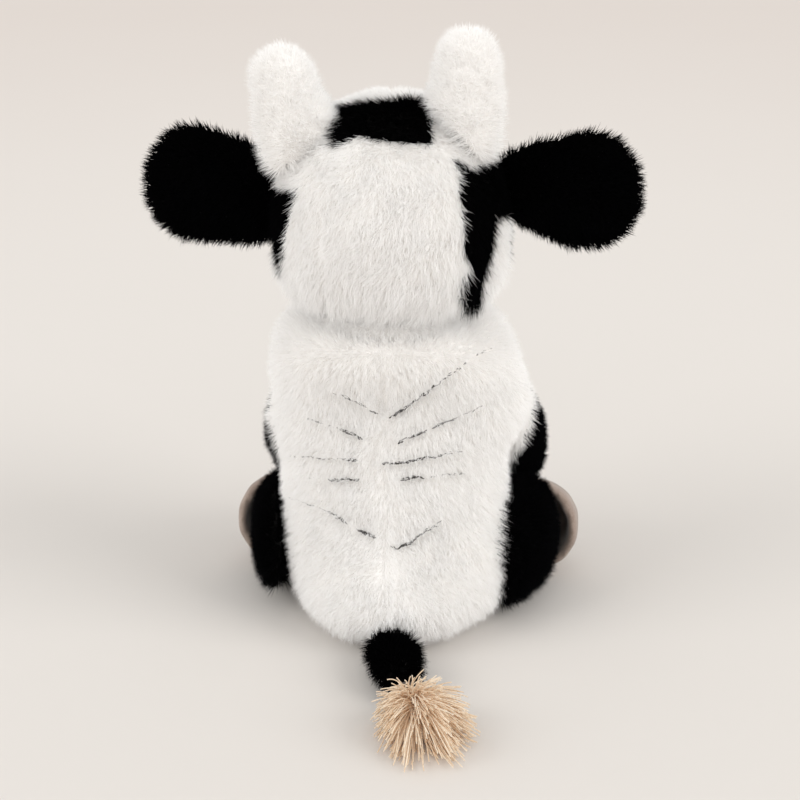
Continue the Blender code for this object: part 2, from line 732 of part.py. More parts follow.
def build_ear(side, sign, head, head_mesh):
    """A flat ear of two cloths, the furry back and the short-pile lining, on an upright hinge line."""
    root = HEAD + Vector((sign * (HEAD_RADIUS - EAR_SINK), 0, EAR_RISE))
    tip = root + Vector((sign * EAR_LENGTH, -EAR_TIP_FORWARD, EAR_TIP_RISE))
    form = Form(
        (root, (root + tip) / 2, tip),
        Z,
        (EAR_HALF_HEIGHT, EAR_HALF_THICKNESS),
        EAR_SHARES,
        EAR_BLUNTNESS,
        FLAT_SIDES,
        FLAT_RINGS,
    )
    place = root + X * sign * (EAR_SINK + EAR_HINGE_OUT)
    ear = pivot(f"{side}_ear_hinge", place, head)
    tools = swept(f"{side}_ear_room", head_mesh, place, Z, (-EAR_SWING, EAR_SWING))
    seam = EAR_HALF_THICKNESS * EAR_SEAM_SHARE
    slant = math.atan2(-EAR_TIP_FORWARD * sign, EAR_LENGTH)
    turn = Matrix.Translation((root + tip) / 2) @ Matrix.Rotation(slant, 4, "Z")
    far = EAR_LENGTH + OVERRUN
    behind = block(f"{side}_ear_behind", (-far, seam + GAP / 2, -far), (far, far, far), turn)
    ahead = block(f"{side}_ear_ahead", (-far, -far, -far), (far, seam - GAP / 2, far), turn)
    mesh = solid_mesh(f"{side}_ear", form, 0, place)
    for name, kind, region in (("back", "black_pile", behind), ("lining", "short_velour", ahead)):
        cloth = piece(f"{side}_ear_{name}", mesh.copy(), kind, ear)
        carve(cloth, tools)
        carve(cloth, [region], "INTERSECT")


def build_horn(side, sign, head, head_mesh, root_out, tip_out, top):
    """A stuffed horn on the crown, which leans sideways at its seam."""
    root = HEAD + Vector((sign * root_out, HORN_ROOT_BACK, HORN_ROOT_RISE))
    tip = HEAD + Vector((sign * tip_out, HORN_TIP_BACK, top))
    form = Form(
        (root, (root + tip) / 2, tip),
        X,
        (HORN_HALF_WIDTH, HORN_HALF_DEPTH),
        HORN_SHARES,
        HORN_BLUNTNESS,
        FLAT_SIDES,
        FLAT_RINGS,
    )
    place = HEAD + Vector((sign * root_out, HORN_ROOT_BACK, HORN_HINGE_RISE))
    horn = pivot(f"{side}_horn_hinge", place, head)
    tools = swept(f"{side}_horn_room", head_mesh, place, Y, (-HORN_LEAN, HORN_LEAN))
    names = (f"{side}_horn_cover", f"{side}_horn_stuffing")
    skin_and_stuffing(names, ("white_pile", "fibre"), form, horn, tools)


def hoof_cut(name, form, share, gap):
    """A block past the plane across a limb at the given share of its line."""
    place, way = form.at(share)
    far = LIMB_OVERRUN
    return block(name, (-far, -far, gap), (far, far, far), facing(place, way))


def build_limb(side, kind, form, hoof_share, carrier, tools):
    """A limb's skin, hoof and stuffing, cut by what carries it."""
    hoof_name = {"arm": f"{side}_front_hoof", "leg": f"{side}_hind_hoof"}[kind]
    names = (f"{side}_{kind}_cover", f"{side}_{kind}_stuffing")
    skin, _ = skin_and_stuffing(names, ("black_pile", "fibre"), form, carrier, tools)
    beyond = hoof_cut(f"{hoof_name}_region", form, hoof_share, SEAM_GAP / 2)
    beyond_room = hoof_cut(f"{hoof_name}_room", form, hoof_share, -SEAM_GAP / 2)
    carve(skin, [beyond_room])
    origin = Vector(carrier["place"])
    hoof = piece(hoof_name, shell_mesh(hoof_name, form, SKIN, origin), "short_velour", carrier)
    carve(hoof, tools)
    carve(hoof, [beyond], "INTERSECT")


def build_arm(side, sign, torso, body_mesh):
    """An arm that hangs forward of the body and swings up about the shoulder."""
    out = BODY_HALF_WIDTH - SHOULDER_SINK
    shoulder = Vector((sign * out, -SHOULDER_FORWARD, BODY_HEIGHT * SHOULDER_SHARE))
    bend_drop = BODY_HEIGHT * ARM_BEND_DROP_SHARE
    end_drop = BODY_HEIGHT * ARM_END_DROP_SHARE
    bend = shoulder + Vector((sign * ARM_BEND_OUT + PAW_SHIFT, -ARM_BEND_FORWARD, -bend_drop))
    end = shoulder + Vector((sign * ARM_END_OUT + PAW_SHIFT, -ARM_END_FORWARD, -end_drop))
    sizes = (ARM_RADIUS, ARM_RADIUS)
    form = Form((shoulder, bend, end), X, sizes, ARM_SHARES, ARM_BLUNTNESS, LIMB_SIDES, LIMB_RINGS)
    place = shoulder + Y * ARM_HINGE_BACK + Z * ARM_HINGE_RISE
    arm = pivot(f"{side}_shoulder", place, torso)
    tools = swept(f"{side}_shoulder_room", body_mesh, place, -X, (0, ARM_SWING))
    build_limb(side, "arm", form, ARM_HOOF_SHARE, arm, tools)


def build_leg(side, sign, torso, body_mesh):
    """A leg that lies on the ground, forward and out from the hip, and splays about its rear seam."""
    height = LEG_RADIUS + FLOOR_GAP
    low = height - LEG_RADIUS * LEG_SINK_SHARE
    hip = Vector((sign * HIP_OUT, HIP_BACK, height))
    bend = Vector((sign * LEG_BEND_OUT + PAW_SHIFT, -LEG_BEND_FORWARD, height))
    end = Vector((sign * LEG_END_OUT + PAW_SHIFT, -LEG_END_FORWARD, low))
    sizes = (LEG_RADIUS, LEG_RADIUS)
    form = Form((hip, bend, end), X, sizes, LEG_SHARES, LEG_BLUNTNESS, LIMB_SIDES, LIMB_RINGS)
    place = Vector((sign * LEG_HINGE_OUT, LEG_HINGE_BACK, height))
    leg = pivot(f"{side}_hip", place, torso)
    tools = swept(f"{side}_hip_room", body_mesh, place, Z * sign, (0, LEG_SPLAY))
    build_limb(side, "leg", form, LEG_HOOF_SHARE, leg, tools)


def build_tail(torso, body_mesh):
    """The tail behind the seat, with a tuft of yarn tied to its end."""
    height = TAIL_HALF_HEIGHT + FLOOR_GAP
    root = Vector((0, TAIL_ROOT_BACK, height))
    bend = root + Vector((TAIL_BEND_SHIFT, TAIL_BEND_BACK, 0))
    end = root + Vector((TAIL_END_SHIFT, TAIL_LENGTH, 0))
    sizes = (TAIL_HALF_WIDTH, TAIL_HALF_HEIGHT)
    form = Form((root, bend, end), X, sizes, TAIL_SHARES, TAIL_BLUNTNESS, LIMB_SIDES, LIMB_RINGS)
    place = Vector((0, TAIL_HINGE_BACK, TAIL_HINGE_RISE))
    tail = pivot("tail_root", place, torso)
    tools = swept("tail_room", body_mesh, place, X, (0, TAIL_LIFT))
    skin_and_stuffing(("tail_cover", "tail_stuffing"), ("black_pile", "fibre"), form, tail, tools)

    _, way = form.at(1)
    start = end + way * GAP
    stop = start + Vector((TUFT_SHIFT, TUFT_LENGTH, 0))
    stop.z = TUFT_HALF_HEIGHT + FLOOR_GAP
    middle = (start + stop) / 2
    middle.z = stop.z
    shape = Form(
        (start, middle, stop),
        X,
        (TUFT_HALF_WIDTH, TUFT_HALF_HEIGHT),
        TUFT_SHARES,
        TUFT_BLUNTNESS,
        LIMB_SIDES,
        LIMB_RINGS,
    )
    tuft = piece("tail_tuft", solid_mesh("tail_tuft", shape, 0, place), "yarn", tail)
    tie, way = shape.at(BINDING_SHARE)
    wide, deep = shape.half(np.array([BINDING_SHARE]))
    inner = float(min(wide[0], deep[0])) - BINDING_WIRE
    ring = tie_outline(inner)
    points, faces = turned("", ring, SMALL_SIDES, facing(tie, way))
    piece("tuft_binding", mesh_of("tuft_binding", points, faces, place), "thread", tail)
    groove = tie_outline(inner, GAP, BINDING_GROOVE)
    points, faces = turned("", groove, SMALL_SIDES, facing(tie, way))
    carve(tuft, [cutter("binding_room", mesh_of("binding_room", points, faces, Vector()))])


def tie_outline(inner, room=0.0, reach=0.0):
    """The outline of the cord tied round the tuft, or of the groove that it lies in."""
    half = BINDING_WIRE / 2 + room
    low = inner - room
    high = inner + BINDING_WIRE + room + reach
    return ((low, -half), (high, -half), (high, half), (low, half))


def build():
    clear_scene()
    torso = pivot("torso", Vector())
    neck = pivot("neck", NECK.copy(), torso)
    head = pivot("head", NECK.copy(), neck)

    neck_tool = neck_room()
    build_body(torso, [head_room(), neck_tool])
    ball = ball_form(NECK, NECK_RADIUS, NECK_SIDES, SMALL_RINGS + 2)
    piece("neck_stuffing", solid_mesh("neck_stuffing", ball, 0, NECK), "fibre", neck)

    form = build_head(head, neck_tool)
    head_mesh = solid_mesh("head_shape", form, -ROOM, Vector())
    head_tool = cutter("head_shape", head_mesh)
    build_muzzle(head, head_tool)
    body_mesh = solid_mesh("body_shape", body_form(), -ROOM, Vector())
    horns = {
        1: (HORN_ROOT_LEFT, HORN_TIP_LEFT, HORN_TOP_LEFT),
        -1: (HORN_ROOT_RIGHT, HORN_TIP_RIGHT, HORN_TOP_RIGHT),
    }
    for side, sign in (("left", 1), ("right", -1)):
        build_ear(side, sign, head, head_mesh)
        build_horn(side, sign, head, head_mesh, *horns[sign])
        build_arm(side, sign, torso, body_mesh)
        build_leg(side, sign, torso, body_mesh)
    build_tail(torso, body_mesh)


build()
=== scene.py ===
"""Dresses the plush cow: padded skins under long pile, velour hooves and muzzle, polished eyes, a yarn tuft.

Metres, +Z up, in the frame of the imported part. The cow faces -Y and the camera stands behind it. Each skin
is the stuffing's own form, swollen as cloth under pressure. The pile is made of closed three-sided hairs that
grow out of the skins, lean with the nap and draw together in small tufts.
"""

import math

import bmesh
import bpy
import numpy as np
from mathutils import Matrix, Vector


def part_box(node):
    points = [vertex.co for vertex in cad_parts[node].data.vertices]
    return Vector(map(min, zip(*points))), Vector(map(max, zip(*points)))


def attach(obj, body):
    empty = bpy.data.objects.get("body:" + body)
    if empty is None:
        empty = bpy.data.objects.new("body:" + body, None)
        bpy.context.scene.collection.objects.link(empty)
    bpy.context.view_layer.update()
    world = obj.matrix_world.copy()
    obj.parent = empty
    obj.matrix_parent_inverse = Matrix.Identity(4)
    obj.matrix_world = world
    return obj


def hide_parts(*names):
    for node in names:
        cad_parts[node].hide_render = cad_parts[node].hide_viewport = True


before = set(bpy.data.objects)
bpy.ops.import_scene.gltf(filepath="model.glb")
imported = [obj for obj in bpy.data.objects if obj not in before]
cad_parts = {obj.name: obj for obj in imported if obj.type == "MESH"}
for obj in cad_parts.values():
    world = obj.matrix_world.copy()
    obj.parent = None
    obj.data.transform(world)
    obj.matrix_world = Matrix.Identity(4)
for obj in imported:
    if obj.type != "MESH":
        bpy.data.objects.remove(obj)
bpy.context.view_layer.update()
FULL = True
MM = 0.001

# Camera, as the photograph was taken
AZIMUTH = math.radians(184)
ELEVATION = math.radians(21)
TARGET = np.array((0, 0, 150 * MM))
CAMERA_DISTANCE = 980 * MM
FOCAL_PIXELS = 1960
IMAGE_SIDE = 800
TARGET_PIXEL = (392, 326.5)
SENSOR = 36

# Studio
WORLD_LEVEL = 0.84
KEY_LEVEL = 0.36
FILL_LEVEL = 0.26
LIGHT_BOUNCES = 12  # white pile is bright because light passes from hair to hair many times
LAMP_WIDTH = math.radians(36)
FLOOR_RADIUS = 12.0
FLOOR_SIDES = 64
# The darker far-off floor colour is painted shade, where less light falls far from the object
FLOOR_COLOURS = ("#DBD7D3", "#D2CBC6")  # under the object, and far off
FLOOR_FADE = (0.35, 1.7)  # metres from the object
BACKDROP = "#E3DBD5"

# Pile
WHITE_LENGTH = 7.0 * MM
BLACK_LENGTH = 7.0 * MM
HAIR_RADIUS = 0.2 * MM
BLACK_HAIR_RADIUS = 0.26 * MM
HAIRS_PER_MM2 = 2.4
EAR_HAIRS_PER_MM2 = 4.0
PILE_HEIGHT = 3 * MM  # of the lying pile over its skin
TUFT_CELL = 3.4 * MM
ROOT_DEPTH = 0.3 * MM
NAP_SWAY, NAP_SWAY_SIZE = 0.7, 11 * MM  # radians that the nap turns aside, and over what distance
LEAN_SWAY, LEAN_SWAY_SIZE = 0.2, 9 * MM
LEAN_SPREAD = 0.12
MOST_LEAN = 1.45
LENGTH_SWAY, LENGTH_SWAY_SIZE = 0.15, 5 * MM
LENGTH_SPREAD = (0.75, 1.15)
TINT_SPREAD = 0.1

# Cloth simulation
CLOTH_PRESSURE = 4
CLOTH_STEPS = 20
FLOOR_CLEARANCE = 0.4 * MM

# How far a crease or seam reaches, in pixels
HELD_REACH = 8
PARTING_REACH = 7
BARE_HALF_WIDTH = 0.9
CREASE_STEP = 1.3
CREASES_FADE = 90  # from the centre seam
HEAD_SEAM_REACH = 8

# Creases in the back, in pixels of the photograph: where the pile parts
CREASES = (
    ((376, 410), (367, 404), (346, 393), (334, 389)),
    ((391, 415), (407, 403), (436, 382), (455, 368), (487, 348)),
    ((362, 436), (350, 430), (325, 421), (296, 413)),
    ((399, 440), (422, 430), (457, 415), (489, 398)),
    ((358, 459), (340, 457), (326, 456), (294, 455)),
    ((384, 462), (395, 462), (416, 458), (437, 454), (470, 446)),
    ((360, 479), (346, 478), (305, 477)),
    ((402, 478), (416, 475), (432, 474), (464, 471)),
    ((375, 537), (351, 524), (334, 512), (318, 505), (291, 496)),
    ((390, 545), (397, 549), (408, 542), (446, 515)),
)
BACK_SEAM = ((378, 335), (387, 416), (375, 450), (378, 474), (395, 498), (397, 548), (397, 640))
HEAD_SEAM = ((316, 173), (321, 240), (328, 327))

# Edges of the colours on the photographed side, in pixels
RIGHT_SEAM = ((454, 157), (461, 163), (465, 206), (469, 249), (474, 266), (464, 289), (479, 318))
RIGHT_CHEEK = ((560, 150), (560, 211), (500, 213), (498, 240), (491, 266), (484, 294), (479, 318))
RIGHT_PATCH_TOP = ((450, 155), (461, 157), (474, 166), (488, 161), (495, 158), (506, 140))
LEFT_SEAM = ((295, 184), (291, 201), (281, 234), (282, 251), (278, 270), (270, 300))
LEFT_PATCH_TOP = ((240, 136), (256, 145), (265, 157), (272, 171), (276, 180), (286, 186), (300, 186))
CROWN_TOP = ((250, 110), (332, 103), (363, 99), (390, 96), (430, 94), (520, 94))
CROWN_FOOT = ((250, 141), (338, 141), (359, 131), (380, 136), (427, 140), (520, 140))
CROWN_SIDES = (331, 434)
RIGHT_SHOULDER = ((536, 397), (534, 420), (529, 435), (522, 445), (512, 464))
LEFT_SHOULDER = ((266, 418), (271, 430), (276, 452), (279, 470))

HEAD_PANELS = (
    "head_back_panel", "head_crown_panel", "head_face_panel", "left_patch_panel",
    "right_patch_panel", "left_cheek_panel", "right_cheek_panel",
)

# Where the photograph shows the body fuller or slimmer than its stuffing, in mm: the place's height and spread,
# the axis it rises along (0 for x, 1 for y), where that starts and is full, and the push
BODY_PUSHES = {
    "nape": (146, 16, 1, 0, 30, (0, 8, 4)),
    "right shoulder": (112, 18, 0, -20, -60, (-5, 0, 0)),
    "left shoulder": (118, 26, 0, 20, 60, (-4, 0, 0)),
    "right hip": (42, 32, 0, -25, -55, (-7, 6, 0)),
    "left seat": (8, 20, 0, 20, 50, (-8, 0, 0)),
}
RUMP_PUSH = 14


def bump(values, centre, spread):
    """A smooth hill, 1 at the centre: exp(-((v - centre) / spread)^2)."""
    return np.exp(-(((values - centre) / spread) ** 2))


def ramp(values, start, end):
    """Rises evenly from 0 at the start to 1 at the end, and stays there."""
    return np.clip((values - start) / (end - start), 0, 1)


def unit(vectors):
    """Vectors scaled to length 1, by rows."""
    return vectors / np.maximum(np.linalg.norm(vectors, axis=-1, keepdims=True), 1e-12)


def camera_axes():
    """Place, right, up and look directions of the camera, aimed so that TARGET falls on TARGET_PIXEL."""
    sin_a, cos_a = math.sin(AZIMUTH), math.cos(AZIMUTH)
    sin_e, cos_e = math.sin(ELEVATION), math.cos(ELEVATION)
    back = np.array((sin_a * cos_e, -cos_a * cos_e, sin_e))
    right = np.array((cos_a, sin_a, 0))
    up = np.cross(back, right)
    scale = CAMERA_DISTANCE / FOCAL_PIXELS
    aim = TARGET + right * (IMAGE_SIDE / 2 - TARGET_PIXEL[0]) * scale
    aim = aim - up * (IMAGE_SIDE / 2 - TARGET_PIXEL[1]) * scale
    place = TARGET + back * CAMERA_DISTANCE
    look = unit(aim - place)
    right = unit(np.cross(look, (0, 0, 1)))
    return place, right, np.cross(right, look), look


CAMERA, RIGHT, UP, LOOK = camera_axes()


def in_photo(points):
    """Pixel places of points in the photograph's frame, as two columns."""
    seen = points - CAMERA
    depth = seen @ LOOK
    across = IMAGE_SIDE / 2 + FOCAL_PIXELS * (seen @ RIGHT) / depth
    down = IMAGE_SIDE / 2 - FOCAL_PIXELS * (seen @ UP) / depth
    return np.stack((across, down), axis=1)


def facing_camera(points, normals):
    """How squarely places on a skin face the camera, 1 for straight at it."""
    return (normals * unit(CAMERA - points)).sum(axis=1)


def behind_pixel(base, pixel):
    """Where the sight line through a pixel meets a skin, and the skin's normal there."""
    across = (pixel[0] - IMAGE_SIDE / 2) / FOCAL_PIXELS
    down = (pixel[1] - IMAGE_SIDE / 2) / FOCAL_PIXELS
    hit, place, normal, _ = base.ray_cast(Vector(CAMERA), Vector(LOOK + RIGHT * across - UP * down))
    return (np.array(place), np.array(normal)) if hit else None


def on_line(line, values, along=0):
    """The other coordinate of a pixel line at the given values: y at x for along 0, x at y for along 1."""
    line = np.array(sorted(line, key=lambda p: p[along]), float)
    return np.interp(values, line[:, along], line[:, 1 - along])


def near_line(pixels, line):
    """Distance of pixels from a broken line, and the direction away from it, both in pixels."""
    best = np.full(len(pixels), np.inf)
    away = np.zeros((len(pixels), 2))
    line = np.array(line, float)
    for a, b in zip(line[:-1], line[1:]):
        t = np.clip(((pixels - a) @ (b - a)) / ((b - a) @ (b - a)), 0, 1)
        gap = pixels - (a + t[:, None] * (b - a))
        size = np.linalg.norm(gap, axis=1)
        closer = size < best
        best[closer] = size[closer]
        away[closer] = gap[closer]
    return best, unit(away)


def lattice(cells, seed):
    """A repeatable value from 0 to 1 for each integer cell (rows of three), mixed by large primes."""
    mixed = cells[..., 0] * 73856093 ^ cells[..., 1] * 19349663
    mixed = mixed ^ cells[..., 2] * 83492791 ^ seed * 2654435761
    mixed = (mixed ^ (mixed >> 13)) * 1274126177
    return ((mixed ^ (mixed >> 16)) & 0xFFFFFF) / 0xFFFFFF


def noise(points, size, seed):
    """Smooth value noise from -1 to 1 with features of the given size."""
    place = points / size
    cell = np.floor(place).astype(np.int64)
    part = place - cell
    part = part * part * (3 - 2 * part)
    total = np.zeros(len(points))
    for corner in np.ndindex(2, 2, 2):
        step = np.array(corner)
        weight = np.prod(np.where(step == 1, part, 1 - part), axis=1)
        total += weight * lattice(cell + step, seed)
    return total * 2 - 1


def tuft_centres(points, size, seed):
    """The nearest scattered centre to each point, one centre in each cell of the given size."""
    cell = np.floor(points / size).astype(np.int64)
    best = np.full(len(points), np.inf)
    centre = points.copy()
    for corner in np.ndindex(3, 3, 3):
        near = cell + np.array(corner) - 1
        jitter = np.stack([lattice(near, seed + k) for k in range(3)], axis=1)
        place = (near + jitter) * size
        gap = np.linalg.norm(points - place, axis=1)
        closer = gap < best
        best[closer] = gap[closer]
        centre[closer] = place[closer]
    return centre


def linear(colour):
    """An sRGB hex colour as linear red, green, blue and alpha."""
    values = [int(colour[i : i + 2], 16) / 255 for i in (1, 3, 5)]
    return tuple(v / 12.92 if v <= 0.04045 else ((v + 0.055) / 1.055) ** 2.4 for v in values) + (1,)


def add(tree, kind, links=None, inputs=None, **settings):
    """A node with its settings, its input values and its links from other nodes' outputs."""
    node = tree.nodes.new(kind)
    for name, value in settings.items():
        setattr(node, name, value)
    for name, value in (inputs or {}).items():
        node.inputs[name].default_value = value
    for name, output in (links or {}).items():
        tree.links.new(output, node.inputs[name])
    return node


def material(name, roughness, sheen=0, gloss=0.2):
    """A material with its one shader, and the node tree to build on."""
    made = bpy.data.materials.new(name)
    made.use_nodes = True
    shader = made.node_tree.nodes["Principled BSDF"]
    shader.inputs["Roughness"].default_value = roughness
    shader.inputs["Specular IOR Level"].default_value = gloss
    shader.inputs["Sheen Weight"].default_value = sheen
    shader.inputs["Sheen Roughness"].default_value = 0.5
    return made, made.node_tree, shader


def pile_material(name, root, tip, roughness, sheen, gloss):
    """Brushed polyester pile, a little unlike from root to tip and from hair to hair."""
    made, tree, shader = material(name, roughness, sheen, gloss)
    along = add(tree, "ShaderNodeAttribute", attribute_name="along")
    tint = add(tree, "ShaderNodeAttribute", attribute_name="tint")
    shade = add(
        tree, "ShaderNodeMath", {0: tint.outputs["Fac"], 1: along.outputs["Fac"]},
        operation="ADD", use_clamp=True,
    )
    tone = add(
        tree, "ShaderNodeMix", {0: shade.outputs[0]}, {6: linear(root), 7: linear(tip)}, data_type="RGBA"
    )
    tree.links.new(tone.outputs[2], shader.inputs["Base Color"])
    return made


def cloth_material(name, dark, light, scale, depth, roughness=0.9, sheen=0.4):
    """Knitted backing, velour and the like: fine grain, and cloudy shade where it is brushed or handled.

    scale is the grain's count in a metre. Loops of 0.3 to 0.5 mm are drawn at 0.7 to 1.1 mm, so that they show.
    """
    made, tree, shader = material(name, roughness, sheen)
    place = add(tree, "ShaderNodeTexCoord").outputs["Object"]
    grain = add(
        tree, "ShaderNodeTexNoise", {"Vector": place}, {"Scale": scale, "Detail": 3, "Roughness": 0.6}
    )
    cloud = add(tree, "ShaderNodeTexNoise", {"Vector": place}, {"Scale": scale / 25, "Detail": 2})
    both = add(tree, "ShaderNodeMix", {2: grain.outputs["Fac"], 3: cloud.outputs["Fac"]}, {0: 0.45})
    spread = add(tree, "ShaderNodeMapRange", {"Value": both.outputs[0]}, {"From Min": 0.3, "From Max": 0.7})
    tone = add(
        tree, "ShaderNodeMix", {0: spread.outputs[0]}, {6: linear(dark), 7: linear(light)}, data_type="RGBA"
    )
    relief = add(
        tree, "ShaderNodeBump", {"Height": grain.outputs["Fac"]}, {"Strength": 0.6, "Distance": depth}
    )
    tree.links.new(tone.outputs[2], shader.inputs["Base Color"])
    tree.links.new(relief.outputs["Normal"], shader.inputs["Normal"])
    return made


YARN_TWIST = 90  # radians of twist along a strand: a turn in about 2.5 mm


def yarn_material():
    """Twisted acrylic yarn: light and dark plies wind round each strand, and strands differ in dye."""
    made, tree, shader = material("twisted_yarn", 0.7, 0.3)
    tint = add(tree, "ShaderNodeAttribute", attribute_name="tint")
    along = add(tree, "ShaderNodeAttribute", attribute_name="along")
    turns = add(tree, "ShaderNodeMath", {0: along.outputs["Fac"]}, {1: YARN_TWIST}, operation="MULTIPLY")
    waves = add(tree, "ShaderNodeMath", {0: turns.outputs[0]}, operation="SINE")
    ply = add(
        tree, "ShaderNodeMath", {0: waves.outputs[0], 2: tint.outputs["Fac"]}, {1: 0.12},
        operation="MULTIPLY_ADD", use_clamp=True,
    )
    tone = add(
        tree, "ShaderNodeMix", {0: ply.outputs[0]}, {6: linear("#DDBE99"), 7: linear("#FCF0DE")},
        data_type="RGBA",
    )
    tree.links.new(tone.outputs[2], shader.inputs["Base Color"])
    return made


# Brushed polyester fibre, matt. One fibre takes almost no light: white pile has its shades from what is lost
# between hairs
WHITE_PILE = pile_material("white_polyester_hair", "#FCFBFA", "#FFFFFF", 0.9, 0.1, 0.1)
# The same fibre dyed black: it gives back nearly nothing, and no glint
BLACK_PILE = pile_material("black_polyester_hair", "#020202", "#08080A", 1, 0, 0.02)
# Knitted ground of the white pile, seen between the hairs as a soft off-white
WHITE_BACKING = cloth_material("white_backing", "#F4F2F0", "#FDFCFB", 900, 0.3 * MM, sheen=0)
# Knitted ground of the black pile, which keeps gaps between hairs dark
BLACK_BACKING = cloth_material("black_backing", "#020202", "#0A0A0B", 900, 0.3 * MM, 1, 0)
# Short brushed velour: taupe, with a pale bloom at grazing angles and a fine grain
VELOUR = cloth_material("velour", "#86746A", "#B3A398", 1400, 0.25 * MM)
# Painted shade: dark cloth for the bottom of a parting, where little light comes in
SHADE = cloth_material("painted_crease_shade", "#1C1B1A", "#4A4744", 900, 0.2 * MM, sheen=0)
# Spun acrylic yarn, sandy and matt, with its plies' light and dark
YARN = yarn_material()
# Dark brown stranded thread with a soft sheen
THREAD = cloth_material("thread", "#2A211C", "#4A3B31", 3000, 0.1 * MM)
# Moulded black plastic, polished, with the faintest clouding of handling
EYE = cloth_material("eye_bead", "#0B0908", "#17120F", 400, 0.001 * MM, 0.08, 0)


def object_of(name, points, faces, look, smooth=True):
    """A mesh object at the origin from arrays of points and of triangles or quads."""
    mesh = bpy.data.meshes.new(name)
    points = np.asarray(points, np.float32)
    faces = np.asarray(faces, np.int32)
    count, sides = faces.shape
    mesh.vertices.add(len(points))
    mesh.vertices.foreach_set("co", points.ravel())
    mesh.loops.add(count * sides)
    mesh.loops.foreach_set("vertex_index", faces.ravel())
    mesh.polygons.add(count)
    mesh.polygons.foreach_set("loop_start", np.arange(count, dtype=np.int32) * sides)
    mesh.update(calc_edges=True)
    mesh.polygons.foreach_set("use_smooth", np.full(count, smooth))
    mesh.materials.append(look)
    made = bpy.data.objects.new(name, mesh)
    bpy.context.scene.collection.objects.link(made)
    return made


def paint(obj, name, values):
    """A value for each point of the mesh, which the materials read."""
    layer = obj.data.attributes.new(name, "FLOAT", "POINT")
    layer.data.foreach_set("value", np.asarray(values, np.float32))


def points_of(obj):
    """The object's mesh points as an array."""
    flat = np.zeros(len(obj.data.vertices) * 3, np.float32)
    obj.data.vertices.foreach_get("co", flat)
    return flat.reshape(-1, 3).astype(float)


def normals_of(obj):
    """The mesh's point normals as an array."""
    flat = np.zeros(len(obj.data.vertices) * 3, np.float32)
    obj.data.vertex_normals.foreach_get("vector", flat)
    return flat.reshape(-1, 3).astype(float)


def place_points(obj, points):
    obj.data.vertices.foreach_set("co", points.astype(np.float32).ravel())
    obj.data.update()


def settle(obj, modifier):
    """Applies one modifier to the object's mesh."""
    bpy.context.view_layer.objects.active = obj
    bpy.ops.object.modifier_apply(modifier=modifier.name)


def middle(node):
    """The middle of a solid's box."""
    low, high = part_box(node)
    return (np.array(low) + np.array(high)) / 2


def closed_form(name, nodes, voxel, inset, smooth):
    """The solids of some nodes as one closed, softened form, drawn in by the inset."""
    joined = bmesh.new()
    for node in nodes:
        joined.from_mesh(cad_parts[node].data)
    mesh = bpy.data.meshes.new(name)
    joined.to_mesh(mesh)
    joined.free()
    made = bpy.data.objects.new(name, mesh)
    bpy.context.scene.collection.objects.link(made)
    remesh = made.modifiers.new("voxels", "REMESH")
    remesh.mode = "VOXEL"
    remesh.voxel_size = voxel
    remesh.use_smooth_shade = True
    settle(made, remesh)
    place_points(made, points_of(made) - normals_of(made) * inset)
    soften = made.modifiers.new("soften", "SMOOTH")
    soften.factor = 0.5
    soften.iterations = smooth
    settle(made, soften)
    return made


def inflate(obj, held):
    """Blows the closed cloth up from inside, with its held points pinned, and applies the result."""
    group = obj.vertex_groups.new(name="held")
    for level in (0.5, 1.0):
        group.add(np.nonzero(held >= level)[0].tolist(), level, "REPLACE")
    cloth = obj.modifiers.new("pressure", "CLOTH")
    cloth.settings.use_pressure = True
    cloth.settings.uniform_pressure_force = CLOTH_PRESSURE
    cloth.settings.effector_weights.gravity = 0
    cloth.settings.vertex_group_mass = "held"
    cloth.point_cache.frame_start = 1
    cloth.point_cache.frame_end = CLOTH_STEPS
    for step in range(1, CLOTH_STEPS + 1):
        bpy.context.scene.frame_set(step)
    settle(obj, cloth)
    bpy.context.scene.frame_set(1)


def back_with(base, look, where):
    """A second cloth on the faces of a skin whose middles and normals the where function picks."""
    base.data.materials.append(look)
    count = len(base.data.polygons)
    centres, normals = np.zeros(count * 3, np.float32), np.zeros(count * 3, np.float32)
    base.data.polygons.foreach_get("center", centres)
    base.data.polygons.foreach_get("normal", normals)
    chosen = where(centres.reshape(-1, 3).astype(float), normals.reshape(-1, 3).astype(float))
    base.data.polygons.foreach_set("material_index", chosen.astype(np.int32))


def skin(
    name, nodes, body, look, voxel, swell, inset=0, pinned=None, shaped=None, smooth=4, also=()
):
    """A padded skin: the solids of some nodes as one closed form, swollen as cloth under pressure.

    swell caps how far the cloth may move. pinned gives a share from 0 to 1 for each point that seams hold,
    and shaped a last push for each point. also names nodes that the skin stands for without their form.
    """
    made = closed_form(name, nodes, voxel, inset, smooth)
    start = points_of(made)
    held = pinned(start) if pinned else np.zeros(len(start))
    if FULL:
        inflate(made, held)
    moved = points_of(made) - start
    moved *= np.minimum(1, swell / np.maximum(np.linalg.norm(moved, axis=1, keepdims=True), 1e-9))
    end = start + moved * (1 - held[:, None])
    if shaped:
        end = end + shaped(end)
    place_points(made, end)
    finer = made.modifiers.new("finer", "SUBSURF")
    finer.levels = 1
    finer.render_levels = 1
    settle(made, finer)
    made.data.polygons.foreach_set("use_smooth", np.full(len(made.data.polygons), True))
    made.data.materials.clear()
    made.data.materials.append(look)
    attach(made, body)
    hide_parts(*nodes, *also)
    return made


